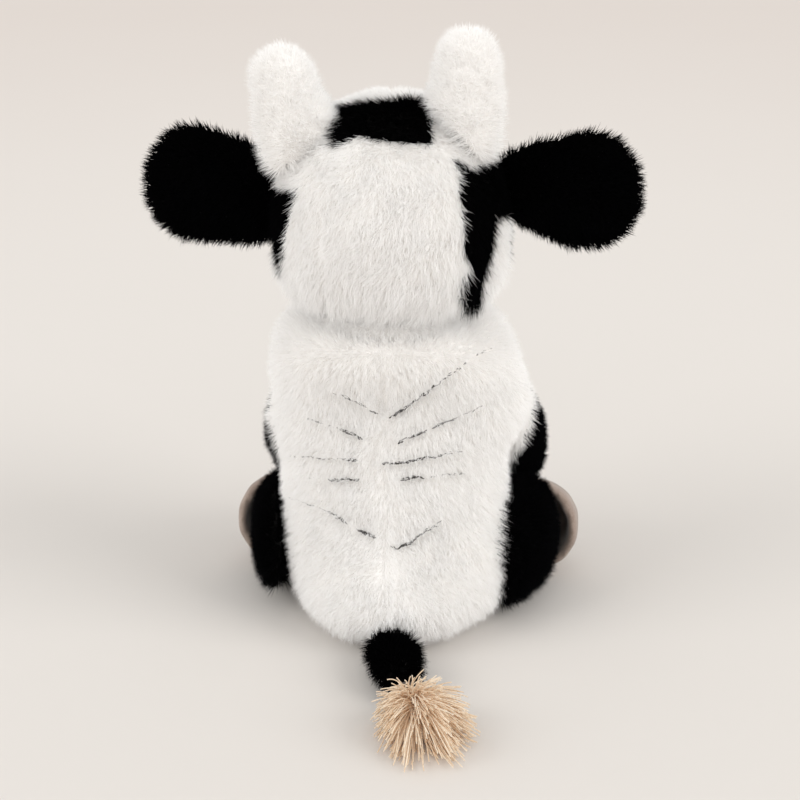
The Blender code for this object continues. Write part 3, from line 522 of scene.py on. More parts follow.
def grown_on(base, per_mm2, seed):
    """Scattered places on a skin, evenly by area: points and normals."""
    mesh = base.data
    mesh.calc_loop_triangles()
    corners = np.zeros(len(mesh.loop_triangles) * 3, np.int32)
    mesh.loop_triangles.foreach_get("vertices", corners)
    corners = corners.reshape(-1, 3)
    points = points_of(base)[corners]
    normals = normals_of(base)[corners]
    areas = np.linalg.norm(np.cross(points[:, 1] - points[:, 0], points[:, 2] - points[:, 0]), axis=1) / 2
    rng = np.random.default_rng(seed)
    total = int(areas.sum() / MM**2 * per_mm2)
    chosen = np.searchsorted(np.cumsum(areas) / areas.sum(), rng.random(total))
    chosen = np.minimum(chosen, len(areas) - 1)
    u, v = rng.random(total), rng.random(total)
    flip = u + v > 1
    u, v = np.where(flip, 1 - u, u), np.where(flip, 1 - v, v)
    weights = np.stack((1 - u - v, u, v), axis=1)[:, :, None]
    return (points[chosen] * weights).sum(axis=1), unit((normals[chosen] * weights).sum(axis=1))


def pile(
    name, body, look, roots, normals, nap, length, seed,
    lean=0.85, radius=HAIR_RADIUS, stray=0.45, gather=0.5,
):
    """Closed three-sided hairs on a skin. Hair i runs from root r_i to

        r_i + length_i * (n_i cos(lean_i) + d_i sin(lean_i)) + gather * (c_i - r_i)

    where n is the skin's normal, d the nap's direction along the skin and c the centre of the hair's tuft.
    """
    rng = np.random.default_rng(seed)
    count = len(roots)
    flat = unit(nap - normals * (nap * normals).sum(axis=1, keepdims=True))
    side = np.cross(normals, flat)
    angle = NAP_SWAY * noise(roots, NAP_SWAY_SIZE, seed) + rng.normal(0, stray, count)
    way = flat * np.cos(angle)[:, None] + side * np.sin(angle)[:, None]
    lean = lean + LEAN_SWAY * noise(roots, LEAN_SWAY_SIZE, seed + 5) + rng.normal(0, LEAN_SPREAD, count)
    lean = np.clip(lean, 0, MOST_LEAN)
    length = length * (1 + LENGTH_SWAY * noise(roots, LENGTH_SWAY_SIZE, seed + 7))
    length = length * rng.uniform(*LENGTH_SPREAD, count)
    reach = normals * np.cos(lean)[:, None] + way * np.sin(lean)[:, None]
    pull = tuft_centres(roots, TUFT_CELL, seed + 11) - roots
    pull = pull - normals * (pull * normals).sum(axis=1, keepdims=True)
    foot = roots - normals * ROOT_DEPTH
    tip = roots + reach * length[:, None] + pull * gather
    axis = unit(tip - foot)
    across = unit(np.cross(axis, normals + 0.01 * side))
    over = np.cross(axis, across)
    spin = rng.uniform(0, 2 * math.pi, count)
    points = np.zeros((count, 4, 3))
    for k in range(3):
        turn = spin + 2 * math.pi * k / 3
        ring = across * np.cos(turn)[:, None] + over * np.sin(turn)[:, None]
        points[:, k] = foot + ring * radius
    points[:, 3] = tip
    points[:, 3, 2] = np.maximum(points[:, 3, 2], FLOOR_CLEARANCE)
    faces = np.array(((0, 2, 1), (0, 1, 3), (1, 2, 3), (2, 0, 3)))
    faces = (faces[None] + 4 * np.arange(count)[:, None, None]).reshape(-1, 3)
    made = object_of(name, points.reshape(-1, 3), faces, look, smooth=False)
    paint(made, "along", np.tile((0, 0, 0, 1), count))
    paint(made, "tint", np.repeat(rng.uniform(-TINT_SPREAD, TINT_SPREAD, count), 4))
    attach(made, body)
    return made


def tubes(name, paths, radii, across, look, sides=5):
    """Closed tubes along paths (tube, ring, xyz): each ring is p + r (cos(t) s + sin(t) o), with s square to
    the path and to the given across direction, and o square to both. A point at each end closes the tube."""
    count, rings, _ = paths.shape
    tangent = unit(np.gradient(paths, axis=1))
    side = unit(np.cross(tangent, np.broadcast_to(across, paths.shape)))
    over = np.cross(side, tangent)
    turn = 2 * math.pi * np.arange(sides) / sides
    ring = side[:, :, None] * np.cos(turn)[:, None] + over[:, :, None] * np.sin(turn)[:, None]
    wall = paths[:, :, None] + ring * radii[:, :, None, None]
    points = np.concatenate((wall.reshape(count, -1, 3), paths[:, :1], paths[:, -1:]), axis=1)
    k = np.arange(sides)
    n = (k + 1) % sides
    i = np.arange(rings - 1)[:, None] * sides
    one = np.stack((i + k, i + sides + n, i + n), axis=-1).reshape(-1, 3)
    two = np.stack((i + k, i + sides + k, i + sides + n), axis=-1).reshape(-1, 3)
    last = (rings - 1) * sides
    foot = np.stack((np.full(sides, rings * sides), k, n), axis=-1)
    head = np.stack((np.full(sides, rings * sides + 1), last + n, last + k), axis=-1)
    faces = np.concatenate((one, two, foot, head))
    faces = (faces[None] + points.shape[1] * np.arange(count)[:, None, None]).reshape(-1, 3)
    made = object_of(name, points.reshape(-1, 3), faces, look)
    along = np.repeat(np.linspace(0, 1, rings), sides)
    paint(made, "along", np.tile(np.concatenate((along, (0, 1))), count))
    return made


def creased(points):
    """How far the back's creases and its centre seam hold a point down, from 0 to 1."""
    pixels = in_photo(points)
    held = np.zeros(len(points))
    for line in CREASES + (BACK_SEAM,):
        gap, _ = near_line(pixels, line)
        held = np.maximum(held, np.clip(1.4 - gap / HELD_REACH, 0, 1))
    return np.where(points[:, 1] > -5 * MM, held, 0)


def body_form(points):
    """Last pushes, each a hill over the height times an even rise along x or y."""
    x, y, z = (points / MM).T
    rump = np.exp(-(((x + 8) / 46) ** 2) - ((z - 20) / 24) ** 2) * ramp(y, 0, 30)
    push = rump[:, None] * (0, RUMP_PUSH, 0)
    for height, spread, axis, start, full, way in BODY_PUSHES.values():
        push += (bump(z, height, spread) * ramp((x, y)[axis], start, full))[:, None] * way
    return push * MM


def part_pile(pixels, behind, nap, length):
    """Combs nap and length away from each crease and the seam, and says which hairs stay."""
    keep = np.ones(len(pixels), bool)
    for line in CREASES + (BACK_SEAM,):
        gap, away = near_line(pixels, line)
        seam = line is BACK_SEAM
        inner = np.clip(1.2 - np.abs(pixels[:, 0] - BACK_SEAM[1][0]) / CREASES_FADE, 0.2, 1)
        near = np.where(behind, np.clip(1 - gap / PARTING_REACH, 0, 1), 0)
        nap += (away[:, :1] * RIGHT - away[:, 1:] * UP) * (near * (0.4 if seam else 2 * inner))[:, None]
        length *= 1 - (0.45 if seam else 0.3) * near
        if not seam:
            keep &= ~((gap < BARE_HALF_WIDTH * inner) & behind)
    return keep


def dress_body():
    """White pile on the torso. It parts along the creases and the centre seam of the back."""
    torso = ("back_left_panel", "back_right_panel", "belly_panel", "seat_panel", "pellet_bag")
    base = skin(
        "body_skin", ("body_stuffing",), "torso", WHITE_BACKING, 4 * MM, 2.5 * MM,
        pinned=creased, shaped=body_form, also=torso,
    )
    roots, normals = grown_on(base, HAIRS_PER_MM2, 3)
    pixels = in_photo(roots)
    behind = roots[:, 1] > -8 * MM
    nap = np.tile((0, 0, -1.0), (len(roots), 1))
    nap[:, 0] += np.sign(roots[:, 0]) * 0.25
    nap[:, 1] += np.where(behind, 0.3, -0.3)
    length = np.full(len(roots), WHITE_LENGTH)
    lean = np.full(len(roots), 0.72)
    low = np.clip(1 - roots[:, 2] / (30 * MM), 0, 1) * behind
    length = length * (1 + 0.8 * low)
    lean += 0.15 * np.clip(1 - np.abs(roots[:, 0]) / (25 * MM), 0, 1)
    lean = lean - 0.15 * low - 0.5 * np.clip((roots[:, 2] - 130 * MM) / (15 * MM), 0, 1)
    keep = (roots[:, 2] > 6 * MM) | (normals[:, 2] > -0.7)
    keep &= part_pile(pixels, behind, nap, length)
    parts = (
        ("back_left_pile", behind & (roots[:, 0] >= 0)),
        ("back_right_pile", behind & (roots[:, 0] < 0)),
        ("belly_left_pile", ~behind & (roots[:, 0] >= 0)),
        ("belly_right_pile", ~behind & (roots[:, 0] < 0)),
    )
    for i, (name, part) in enumerate(parts):
        on = part & keep
        pile(name, "torso", WHITE_PILE, roots[on], normals[on], nap[on], length[on], 20 + i, lean[on])
    dark_creases(base)


def dark_creases(base):
    """Painted shade in each crease: short dark tubes for the gaps between tufts, widest and closest near the
    centre seam.

    Gap k is a tube along p_k + s (a_k + tilt_k b_k) for s from -half_k to half_k, with radius
    r_k (1 - (s / half_k)^2), where a is the crease's direction and b lies across it on the skin.
    """
    rng = np.random.default_rng(62)
    for i, line in enumerate(CREASES):
        line = np.array(line, float)
        steps = np.concatenate(((0,), np.cumsum(np.linalg.norm(np.diff(line, axis=0), axis=1))))
        at = np.arange(0, steps[-1], CREASE_STEP)
        pixels = np.stack([np.interp(at, steps, line[:, k]) for k in range(2)], axis=1)
        pixels[:, 1] += noise(np.stack((at, 0 * at, 0 * at + i), axis=1), 7, 61)
        hits = [behind_pixel(base, pixel) for pixel in pixels]
        places = np.array([hit[0] for hit in hits])
        normals = np.array([hit[1] for hit in hits])
        along = unit(np.gradient(places, axis=0))
        aside = np.cross(normals, along)
        fade = np.clip(1.1 - at / steps[-1], 0.12, 1)
        strength = fade * np.clip(0.7 + 0.9 * noise(places, 5 * MM, 70 + i), 0.15, 1)
        on = rng.random(len(at)) < 1.8 * strength
        count = on.sum()
        tilt = rng.normal(0, 0.25, (count, 1))
        s = np.linspace(-1, 1, 7)
        half = rng.uniform(0.6, 1.5, count)[:, None] * MM
        middles = places[on] + aside[on] * rng.normal(0, 0.3 * MM, (count, 1))
        middles = middles + normals[on] * rng.uniform(1.6, 3.2, (count, 1)) * MM
        path = middles[:, None] + (along[on] + tilt * aside[on])[:, None] * (half * s)[..., None]
        radii = 0.02 * MM + (0.1 + 0.4 * strength[on, None]) * MM * (1 - s**2)
        # painted shade: dark tubes along the crease
        made = tubes(f"crease_shade_{i + 1}", path, radii, normals[on][:, None], SHADE)
        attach(made, "torso")


def neck_form(points):
    """The neck spreads where head and body press it: up to 13 mm wider at the height of the fold."""
    out = points * (1, 1, 0)
    return unit(out) * (13 * MM * bump(points[:, 2], 160 * MM, 13 * MM))[:, None]


def dress_neck():
    """The neck's wad in white knit with short pile, seen only in the fold between head and body."""
    base = skin("neck_skin", ("neck_stuffing",), "neck", WHITE_BACKING, 4 * MM, 1 * MM, shaped=neck_form)
    roots, normals = grown_on(base, HAIRS_PER_MM2, 4)
    nap = np.tile((0, 0, -1.0), (len(roots), 1))
    pile("neck_pile", "neck", WHITE_PILE, roots, normals, nap, np.full(len(roots), 6 * MM), 30, 0.3)


def head_is_black(roots, normals):
    """Which places on the head are black: by the photograph's lines behind, by sizes in front."""
    pixels = in_photo(roots + normals * PILE_HEIGHT)
    facing = facing_camera(roots, normals) > 0
    x, y = pixels.T
    crown = (y > on_line(CROWN_TOP, x)) & (y < on_line(CROWN_FOOT, x))
    crown &= (x > CROWN_SIDES[0]) & (x < CROWN_SIDES[1])
    right = (x > on_line(RIGHT_SEAM, y, 1)) & (x < on_line(RIGHT_CHEEK, y, 1))
    right &= (y > on_line(RIGHT_PATCH_TOP, x)) & (y < RIGHT_SEAM[-1][1])
    left = (x < on_line(LEFT_SEAM, y, 1)) & (y > on_line(LEFT_PATCH_TOP, x)) & (y < LEFT_SEAM[-2][1])
    centre = middle("head_stuffing")
    up = roots[:, 2] - centre[2]
    ahead = centre[1] - roots[:, 1]
    patch = (np.abs(roots[:, 0]) > 36 * MM) & (up > -22 * MM) & (ahead < 48 * MM)
    return np.where(facing, crown | right | left, patch)


def clear_of_face(roots):
    """Places on the head that neither the eyes nor the muzzle covers."""
    clear = np.ones(len(roots), bool)
    for eye in ("left_eye", "right_eye"):
        clear &= np.linalg.norm(roots - middle(eye), axis=1) > 9.5 * MM
    low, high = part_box("muzzle_cover")
    across = (roots[:, 0] - (low[0] + high[0]) / 2) / ((high[0] - low[0]) / 2)
    rise = (roots[:, 2] - (low[2] + high[2]) / 2) / ((high[2] - low[2]) / 2)
    return clear & ((across**2 + rise**2 > 0.8) | (roots[:, 1] > 0))


def dress_head():
    """The head's white and black pile, combed down, and to the left on the photographed side."""
    base = skin("head_skin", ("head_stuffing",), "head", WHITE_BACKING, 4 * MM, 2 * MM, also=HEAD_PANELS)
    back_with(base, BLACK_BACKING, head_is_black)
    roots, normals = grown_on(base, HAIRS_PER_MM2, 5)
    keep = clear_of_face(roots)
    roots, normals = roots[keep], normals[keep]
    black = head_is_black(roots, normals)
    behind = roots[:, 1] > 0
    nap = np.tile((0, 0.6, -1.0), (len(roots), 1))
    nap[:, 0] += np.where(behind, 0.3, np.sign(roots[:, 0]) * 0.3)
    length = np.full(len(roots), WHITE_LENGTH)
    gap, away = near_line(in_photo(roots), HEAD_SEAM)
    near = np.where(behind, np.clip(1 - gap / HEAD_SEAM_REACH, 0, 1), 0)
    nap += (away[:, :1] * RIGHT - away[:, 1:] * UP) * 0.5 * near[:, None]
    length *= 1 - 0.2 * near
    length *= np.where(behind, 1, 0.8)
    hang = np.clip((middle("head_stuffing")[2] - 12 * MM - roots[:, 2]) / (30 * MM), 0, 1)
    length *= 1 + 0.8 * hang * behind
    parts = (
        ("head_back_pile", ~black & behind, WHITE_PILE),
        ("face_pile", ~black & ~behind, WHITE_PILE),
        ("head_patch_pile", black, BLACK_PILE),
    )
    for i, (name, on, look) in enumerate(parts):
        pile(name, "head", look, roots[on], normals[on], nap[on], length[on], 40 + i)


def dress_face():
    """Velour muzzle, two polished eyes and two nostrils in satin stitch."""
    muzzle = skin(
        "muzzle_skin", ("muzzle_cover",), "head", VELOUR, 2 * MM, 1 * MM, inset=0.8 * MM,
        also=("muzzle_stuffing",),
    )
    for side in ("left", "right"):
        bead(side)
        nostril(side)


def bead(side):
    """One eye: the solid's own dome, rounded by subdivision."""
    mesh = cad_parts[f"{side}_eye"].data.copy()
    mesh.name = f"{side}_eye_bead"
    welded = bmesh.new()
    welded.from_mesh(mesh)
    bmesh.ops.remove_doubles(welded, verts=welded.verts, dist=0.01 * MM)
    welded.to_mesh(mesh)
    welded.free()
    made = bpy.data.objects.new(mesh.name, mesh)
    bpy.context.scene.collection.objects.link(made)
    finer = made.modifiers.new("finer", "SUBSURF")
    finer.levels = 2
    finer.render_levels = 2
    settle(made, finer)
    mesh.polygons.foreach_set("use_smooth", np.full(len(mesh.polygons), True))
    mesh.materials.clear()
    mesh.materials.append(EYE)
    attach(made, "head")
    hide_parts(f"{side}_eye")


STITCHES = 11
STITCH_RADIUS = 0.42 * MM
NOSTRIL_HALVES = (3.4 * MM, 4.2 * MM)


def nostril(side):
    """Satin stitch: threads side by side across an oval, each one bowed out from the cloth.

    Thread u runs for t from -1 to 1 through u a + t b sqrt(1.05 - u^2), a and b being the oval's halves.
    """
    node = f"{side}_nostril"
    centre = middle(node)
    out = unit(centre - middle("muzzle_cover"))
    across = unit(np.cross(out, (0, 0, 1)))
    rise = np.cross(across, out)
    u = np.linspace(-1, 1, STITCHES)[:, None]
    t = np.linspace(-1, 1, 15)[None]
    half = NOSTRIL_HALVES[1] * np.sqrt(1.05 - u**2)
    bow = 1.6 * MM * np.sqrt(np.maximum(1 - t**2, 0)) - 0.8 * MM
    path = centre + (u * NOSTRIL_HALVES[0])[..., None] * across + (half * t)[..., None] * rise
    path = path + np.broadcast_to(bow, half.shape[:1] + t.shape[1:])[..., None] * out
    made = tubes(f"{node}_stitches", path, np.full(path.shape[:2], STITCH_RADIUS), across, THREAD, sides=6)
    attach(made, "head")
    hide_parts(node)


def ear_back(points, normals):
    """The ear's back and rim, as against its lining in front."""
    return normals[:, 1] > -0.45


EAR_ROOTS = {"left": (0.02, 0.3), "right": (0.25, -0.4)}  # how much wider the ear's root is above and below


def ear_root(points, side, sign):
    """Gives the ear's root its width above and below, and sets it into the head's pile."""
    centre = middle(f"{side}_ear_back")
    above, below = EAR_ROOTS[side]
    root = np.clip((86 * MM - np.abs(points[:, 0])) / (26 * MM), 0, 1)
    push = np.zeros_like(points)
    push[:, 0] = -sign * 8 * MM * root**2
    rise = points[:, 2] - centre[2]
    push[:, 2] = rise * root * np.where(rise > 0, above, below)
    return push


def dress_ear(side, sign):
    """Black pile on the ear's back and rim, combed out from the root, and a velour lining in front."""
    nodes = (f"{side}_ear_back", f"{side}_ear_lining")
    base = skin(
        f"{side}_ear_skin", nodes, f"{side}_ear", VELOUR, 2 * MM, 0.6 * MM, inset=1.6 * MM,
        shaped=lambda points: ear_root(points, side, sign),
    )
    back_with(base, BLACK_BACKING, ear_back)
    roots, normals = grown_on(base, EAR_HAIRS_PER_MM2, 6)
    root = np.array((sign * 50 * MM, 0, 216 * MM))
    on = ear_back(roots, normals)
    roots, normals = roots[on], normals[on]
    nap = roots - root
    nap[:, 1] = 0
    pile(
        f"{side}_ear_pile", f"{side}_ear", BLACK_PILE, roots, normals, nap,
        np.full(len(roots), 0.85 * BLACK_LENGTH), 50, 0.8, radius=BLACK_HAIR_RADIUS,
    )


HORN_FOOT = 0.45  # the foot's share of the height
HORN_RISE = (0, 0.15, 0.3, 0.44, 0.57, 0.76, 1)
HORN_INNER = {"left": (8, 11, 11, 7, 1, -2, 0), "right": (4, 5, 5, 3, 0, -1, 0)}


def horn_form(points, side, node, sign):
    """The horn's outline as photographed: its inner side swells by HORN_INNER millimetres at the shares
    HORN_RISE of its height, its outer side draws in at the foot, and its top is blunt."""
    low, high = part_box(node)
    rise = (points[:, 2] - low[2]) / (high[2] - low[2])
    foot = np.clip(1 - rise / HORN_FOOT, 0, 1)
    top = np.clip((rise - 0.6) / 0.3, 0, 1)
    aside = points[:, 0] - middle(node)[0]
    inner = np.clip(-sign * aside / (10 * MM), 0, 1)
    outer = np.clip(sign * aside / (10 * MM), 0, 1)
    swell = inner * np.interp(rise, HORN_RISE, HORN_INNER[side]) + outer * 4.5 * foot
    push = np.zeros_like(points)
    push[:, 0] = aside * 0.22 * top - sign * swell * MM
    push[:, 1] = 2 * MM * foot
    push[:, 2] = -6 * MM * foot
    return push


def dress_horn(side, sign):
    """Short fluffy white pile on the horn, brushed up and away from a faint parting down its middle."""
    node = f"{side}_horn_stuffing"
    body = f"{side}_horn"
    base = skin(
        f"{side}_horn_skin", (node,), body, WHITE_BACKING, 3 * MM, 1.2 * MM,
        shaped=lambda points: horn_form(points, side, node, sign), also=(f"{side}_horn_cover",),
    )
    roots, normals = grown_on(base, HAIRS_PER_MM2, 7)
    low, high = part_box(node)
    foot = np.clip(1 - (roots[:, 2] - low[2]) / (high[2] - low[2]) / HORN_FOOT, 0, 1)
    nap = np.tile((0, 0, 1.0), (len(roots), 1))
    nap[:, 0] += 0.5 * np.sign(roots[:, 0] - middle(node)[0])
    length = WHITE_LENGTH * (0.85 + 0.35 * foot)
    lean = 0.7 - 0.4 * foot
    pile(f"{side}_horn_pile", body, WHITE_PILE, roots, normals, nap, length, 55, lean, stray=0.9)


def flat_end(node):
    """A point and the outward normal of a solid's largest flat face, where its seam is."""
    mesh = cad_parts[node].data
    count = len(mesh.polygons)
    areas = np.zeros(count, np.float32)
    normals, centres = np.zeros(count * 3, np.float32), np.zeros(count * 3, np.float32)
    mesh.polygons.foreach_get("area", areas)
    mesh.polygons.foreach_get("normal", normals)
    mesh.polygons.foreach_get("center", centres)
    normals, centres = normals.reshape(-1, 3).astype(float), centres.reshape(-1, 3).astype(float)
    alike = (normals @ normals.T) > 0.9995
    best = (alike * areas).sum(axis=1).argmax()
    return centres[alike[best]].mean(axis=0), normals[best]


def dress_limb(limb, hoof, body, white=None, fall=0.3, shaped=None, hoof_shift=(0, 0, 0), lean=0.8):
    """A limb: black pile combed towards the hoof, shortest at the hoof's seam, and the hoof in velour.

    white says which hairs are white, fall how far the nap turns down, shaped where the padding is fuller.
    """
    base = skin(
        f"{limb}_skin", (f"{limb}_stuffing",), body, BLACK_BACKING, 3 * MM, 1.5 * MM, shaped=shaped,
        also=(f"{limb}_cover",),
    )
    if white:
        back_with(base, WHITE_BACKING, white)
    foot = skin(
        f"{hoof}_skin", (hoof,), body, VELOUR, 2 * MM, 0.8 * MM, inset=-0.6 * MM,
        shaped=lambda points: np.tile(hoof_shift, (len(points), 1)), smooth=14,
    )
    seam, back = flat_end(hoof)
    roots, normals = grown_on(base, HAIRS_PER_MM2, 8)
    from_seam = (roots - seam) @ back
    on = from_seam > -1 * MM
    roots, normals, from_seam = roots[on], normals[on], from_seam[on]
    nap = unit(middle(hoof) - roots) + np.array((0, 0, -fall))
    length = BLACK_LENGTH * (0.75 + 0.25 * np.clip(from_seam / (12 * MM), 0, 1))
    length = length * (1 + 0.8 * np.clip(1 - roots[:, 2] / (25 * MM), 0, 1) * (normals[:, 1] > 0))
    light = white(roots, normals) if white else np.zeros(len(roots), bool)
    parts = (
        ("pile", ~light, BLACK_PILE, BLACK_HAIR_RADIUS),
        ("shoulder_pile", light, WHITE_PILE, HAIR_RADIUS),
    )
    for name, on, look, radius in parts:
        if on.any():
            pile(
                f"{limb}_{name}", body, look, roots[on], normals[on], nap[on], length[on], 70, lean, radius
            )


def elbow(points, aside, spread, drop):
    """The whole arm set over by aside, and its bend pushed out by spread and down towards the leg by drop."""
    behind = np.clip((points[:, 1] + 85 * MM) / (40 * MM), 0, 1)
    below = np.clip((points[:, 2].max() - points[:, 2]) / (50 * MM), 0, 1)
    return np.array((aside, 0, 0)) + (behind * below)[:, None] * np.array((spread, 0, -drop))


def thigh(points, edge):
    """The leg is fuller above and behind than its stuffing, slimmer outside, where the hoof shows, and it
    gives way to the body inside the given edge, which lies further in near the floor."""
    across = np.abs(points[:, 0])
    edge = edge - 12 * MM * np.clip(1 - points[:, 2] / (18 * MM), 0, 1)
    rear = np.clip((points[:, 1] - 10 * MM) / (30 * MM), 0, 1) * np.clip(2 - points[:, 2] / (25 * MM), 0, 1)
    inner = np.clip((edge - across) / (8 * MM), 0, 1) * np.clip((points[:, 1] + 5 * MM) / (15 * MM), 0, 1)
    push = np.zeros_like(points)
    push[:, 0] = -np.sign(points[:, 0]) * 5.5 * MM * np.clip((across - across.max()) / (14 * MM) + 1, 0, 1)
    push[:, 1] = 10 * MM * rear * np.clip((across - edge) / (10 * MM), 0, 1) - 12 * MM * inner
    under = np.clip(1 - points[:, 2] / (22 * MM), 0, 1) * np.clip(points[:, 1] / (20 * MM), 0, 1)
    push[:, 1] += 24 * MM * under * np.clip((62 * MM - across) / (10 * MM), 0, 1)
    push[:, 2] = 6 * MM * np.clip((points[:, 2] - 30 * MM) / (20 * MM), 0, 1)
    return push


def shoulder_white(roots, normals, line, inwards):
    """Where the body's white cloth wraps the back of an arm, down to a line seen in the photograph."""
    x, y = in_photo(roots + normals * PILE_HEIGHT).T
    inside = (y < line[0][1]) | (inwards * (x - on_line(line, y, 1)) > 0)
    return (facing_camera(roots, normals) > 0) & inside


def right_shoulder_white(roots, normals):
    return shoulder_white(roots, normals, RIGHT_SHOULDER, -1)


def left_shoulder_white(roots, normals):
    return shoulder_white(roots, normals, LEFT_SHOULDER, 1)


TAIL_BARE_ROOT = 76 * MM  # nearer than this the body's white pile hangs over the tail


def dress_tail():
    """Black pile down the tail, the cord that ties its end, and the tuft of yarn."""
    base = skin(
        "tail_skin", ("tail_stuffing",), "tail", BLACK_BACKING, 2.5 * MM, 1 * MM, also=("tail_cover",)
    )
    roots, normals = grown_on(base, HAIRS_PER_MM2, 9)
    on = roots[:, 1] > TAIL_BARE_ROOT
    roots, normals = roots[on], normals[on]
    nap = np.tile((-0.25, 1.0, 0), (len(roots), 1))
    pile(
        "tail_pile", "tail", BLACK_PILE, roots, normals, nap, np.full(len(roots), 1.1 * BLACK_LENGTH), 80, 0.5,
        BLACK_HAIR_RADIUS,
    )
    binding()
    tuft()


TUFT_WAY = unit(np.array((-0.33, 0.94, 0.12)))
TUFT_WIDEST = 1.38  # 1 less the cosine of the widest angle from TUFT_WAY
STRANDS, CLUMPS, STRAND_RINGS, STRAND_SIDES = 900, 80, 13, 5
STRAND_RADIUS = 0.28 * MM
FLOOR_EASE = 3 * MM  # the height over which a strand flattens out
CORD_TURN_RADIUS, CORD_RADIUS, CORD_PITCH, CORD_RINGS = 3.9 * MM, 0.6 * MM, 1.1 * MM, 97


def binding():
    """The cord: three turns of a helix round the tail's end, each turn against the next."""
    centre = middle("tuft_binding")
    one = unit(np.cross(TUFT_WAY, (0, 0, 1)))
    two = np.cross(TUFT_WAY, one)
    t = np.linspace(-3 * math.pi, 3 * math.pi, CORD_RINGS)[:, None]
    path = centre + CORD_TURN_RADIUS * (np.cos(t) * one + np.sin(t) * two)
    path = path + TUFT_WAY * t / (2 * math.pi) * CORD_PITCH
    made = tubes("tuft_cord", path[None], np.full((1, CORD_RINGS), CORD_RADIUS), TUFT_WAY, THREAD, sides=8)
    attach(made, "tail")
    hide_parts("tuft_binding")


def tuft():
    """Yarn strands in clumps from a short core, all round the tail's end and kept off the floor.

    Each strand runs for t from 0 to 1 along p(t) = start + way L t - sag t^2 + wave sin(pi t).
    """
    rng = np.random.default_rng(90)
    count, clumps = STRANDS, CLUMPS
    one = unit(np.cross(TUFT_WAY, (0, 0, 1)))
    two = np.cross(one, TUFT_WAY)
    polar = np.arccos(1 - rng.random(clumps) * TUFT_WIDEST)
    turn = rng.uniform(0, 2 * math.pi, clumps)
    heads = (
        TUFT_WAY * np.cos(polar)[:, None]
        + one * (np.sin(polar) * np.cos(turn))[:, None]
        + two * (np.sin(polar) * np.sin(turn))[:, None]
    )
    way = unit(heads[rng.integers(clumps, size=count)] + rng.normal(0, 0.12, (count, 3)))
    polar = np.arccos(np.clip(way @ TUFT_WAY, -1, 1))
    start = middle("tuft_binding") + TUFT_WAY * rng.uniform(5, 17, count)[:, None] * MM
    start = start + rng.normal(0, 1.3 * MM, (count, 3))
    length = (43 - 14 * polar) * MM * rng.uniform(0.8, 1.1, count)
    length *= 1 - 0.14 * np.clip(-way @ RIGHT, 0, 1) - 0.15 * np.clip(way @ UP, 0, 1)
    t = np.linspace(0, 1, STRAND_RINGS)
    path = start[:, None] + way[:, None] * (length[:, None] * t)[..., None]
    sag = rng.uniform(4, 12, count) * MM
    path[..., 2] -= sag[:, None] * t**2
    wave = rng.normal(0, 0.5 * MM, (count, 3))
    path = path + wave[:, None] * np.sin(math.pi * t)[None, :, None]
    low = 0.8 * MM + rng.uniform(0, 1.5 * MM, count)[:, None]
    eased = low + FLOOR_EASE * np.exp((path[..., 2] - low) / FLOOR_EASE - 1)
    path[..., 2] = np.where(path[..., 2] < low + FLOOR_EASE, eased, path[..., 2])
    flat = unit(np.cross(way, (0, 0, 1)))[:, None]
    radii = np.full((count, STRAND_RINGS), STRAND_RADIUS)
    made = tubes("tail_tuft_yarn", path, radii, flat, YARN, sides=STRAND_SIDES)
    paint(made, "tint", np.repeat(rng.uniform(0.25, 0.75, count), STRAND_RINGS * STRAND_SIDES + 2))
    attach(made, "tail")
    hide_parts("tail_tuft")


def finish_hidden():
    """The eyes' washers stay as they are, inside the head, in moulded nylon: off-white and faintly cloudy."""
    look = cloth_material("moulded_nylon", "#CFCDC6", "#DEDCD6", 300, 0.02 * MM, 0.45, 0)
    for side in ("left", "right"):
        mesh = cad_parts[f"{side}_eye_washer"].data
        mesh.materials.clear()
        mesh.materials.append(look)


def stand(name, made, place, way):
    """Links a lamp or the camera in its place, with its back to the given way."""
    held = bpy.data.objects.new(name, made)
    held.location = place
    held.rotation_mode = "QUATERNION"
    held.rotation_quaternion = Vector(way).to_track_quat("Z", "Y")
    bpy.context.scene.collection.objects.link(held)
    return held


def lamp(name, way, level):
    """A soft lamp so far off that it lights the whole floor alike.

    level is what it adds to a white surface that faces it.
    """
    made = bpy.data.lights.new(name, "SUN")
    made.angle = LAMP_WIDTH
    made.energy = level * math.pi
    made.color = linear("#FFFDFA")[:3]
    stand(name, made, TARGET + unit(way), way)


def floor():
    """Seamless paper: a wide matt disc, faintly clouded, and a little darker far off as painted shade."""
    made, tree, shader = material("seamless_paper", 0.95)
    place = add(tree, "ShaderNodeTexCoord").outputs["Object"]
    away = add(tree, "ShaderNodeVectorMath", {0: place}, operation="LENGTH")
    fade = add(
        tree, "ShaderNodeMapRange", {"Value": away.outputs["Value"]},
        {"From Min": FLOOR_FADE[0], "From Max": FLOOR_FADE[1]}, interpolation_type="SMOOTHSTEP",
    )
    cloud = add(tree, "ShaderNodeTexNoise", {"Vector": place}, {"Scale": 6, "Detail": 2})
    both = add(
        tree, "ShaderNodeMath", {0: cloud.outputs["Fac"], 2: fade.outputs[0]}, {1: 0.1},
        operation="MULTIPLY_ADD", use_clamp=True,
    )
    tones = {6: linear(FLOOR_COLOURS[0]), 7: linear(FLOOR_COLOURS[1])}
    tone = add(tree, "ShaderNodeMix", {0: both.outputs[0]}, tones, data_type="RGBA")
    tree.links.new(tone.outputs[2], shader.inputs["Base Color"])
    k = np.arange(FLOOR_SIDES)
    turn = 2 * math.pi * k / FLOOR_SIDES
    rim = np.stack((np.cos(turn), np.sin(turn), 0 * turn), axis=1) * FLOOR_RADIUS
    points = np.concatenate((np.zeros((1, 3)), rim))
    faces = np.stack((0 * k, 1 + k, 1 + (k + 1) % FLOOR_SIDES), axis=1)
    object_of("floor", points, faces, made)


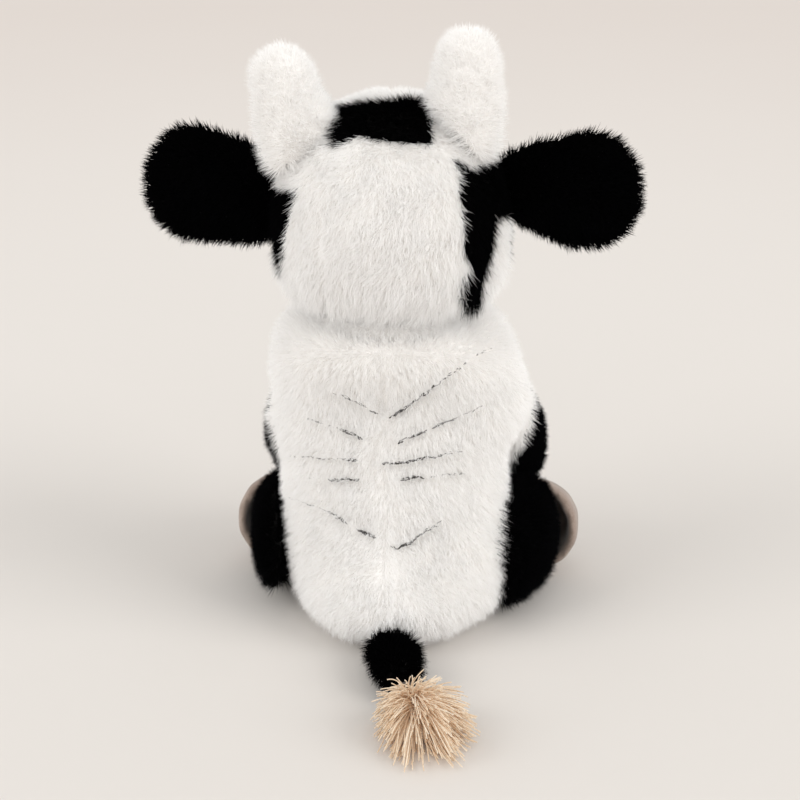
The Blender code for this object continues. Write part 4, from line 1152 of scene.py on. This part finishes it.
def studio():
    """Even light from all round, of which the camera sees only the backdrop's own tone."""
    world = bpy.data.worlds.new("studio")
    bpy.context.scene.world = world
    world.use_nodes = True
    tree = world.node_tree
    light = tree.nodes["Background"]
    light.inputs["Color"].default_value = linear("#FFFEFC")
    light.inputs["Strength"].default_value = WORLD_LEVEL
    seen = add(tree, "ShaderNodeBackground", inputs={"Color": linear(BACKDROP), "Strength": 1})
    rays = add(tree, "ShaderNodeLightPath")
    glossy = add(
        tree, "ShaderNodeMath", {0: rays.outputs["Is Camera Ray"], 1: rays.outputs["Is Glossy Ray"]},
        operation="MAXIMUM",
    )
    either = add(tree, "ShaderNodeMixShader", {"Fac": glossy.outputs[0]})
    tree.links.new(light.outputs[0], either.inputs[1])
    tree.links.new(seen.outputs[0], either.inputs[2])
    tree.links.new(either.outputs[0], tree.nodes["World Output"].inputs["Surface"])
    lamp("key", -LOOK * 0.5 + RIGHT * 0.8 + UP * 0.4, KEY_LEVEL)
    lamp("fill", -LOOK * 0.5 - RIGHT * 0.8 + UP * 0.4, FILL_LEVEL)


def camera():
    view = bpy.data.cameras.new("camera")
    view.sensor_width = SENSOR
    view.lens = FOCAL_PIXELS / IMAGE_SIDE * SENSOR
    view.clip_start = 0.01
    view.clip_end = 50
    scene = bpy.context.scene
    scene.camera = stand("camera", view, CAMERA, -LOOK)
    scene.view_settings.view_transform = "Standard"
    scene.cycles.diffuse_bounces = LIGHT_BOUNCES
    scene.cycles.max_bounces = LIGHT_BOUNCES


camera()
floor()
studio()
dress_body()
dress_neck()
dress_head()
dress_face()
for side, sign in (("left", 1), ("right", -1)):
    dress_ear(side, sign)
    dress_horn(side, sign)
dress_limb(
    "left_arm", "left_front_hoof", "left_arm", left_shoulder_white, 1.0,
    lambda points: elbow(points, -3.5 * MM, 10 * MM, 14 * MM),
)
dress_limb(
    "right_arm", "right_front_hoof", "right_arm", right_shoulder_white, 1.0,
    lambda points: elbow(points, 0, -3 * MM, 15 * MM),
)
for side, edge, out in (("left", 53 * MM, 2.5 * MM), ("right", 59 * MM, -3 * MM)):
    dress_limb(
        f"{side}_leg", f"{side}_hind_hoof", f"{side}_leg", shaped=lambda points: thigh(points, edge),
        hoof_shift=(out, 0, 0), lean=0.55,
    )
dress_tail()
finish_hidden()
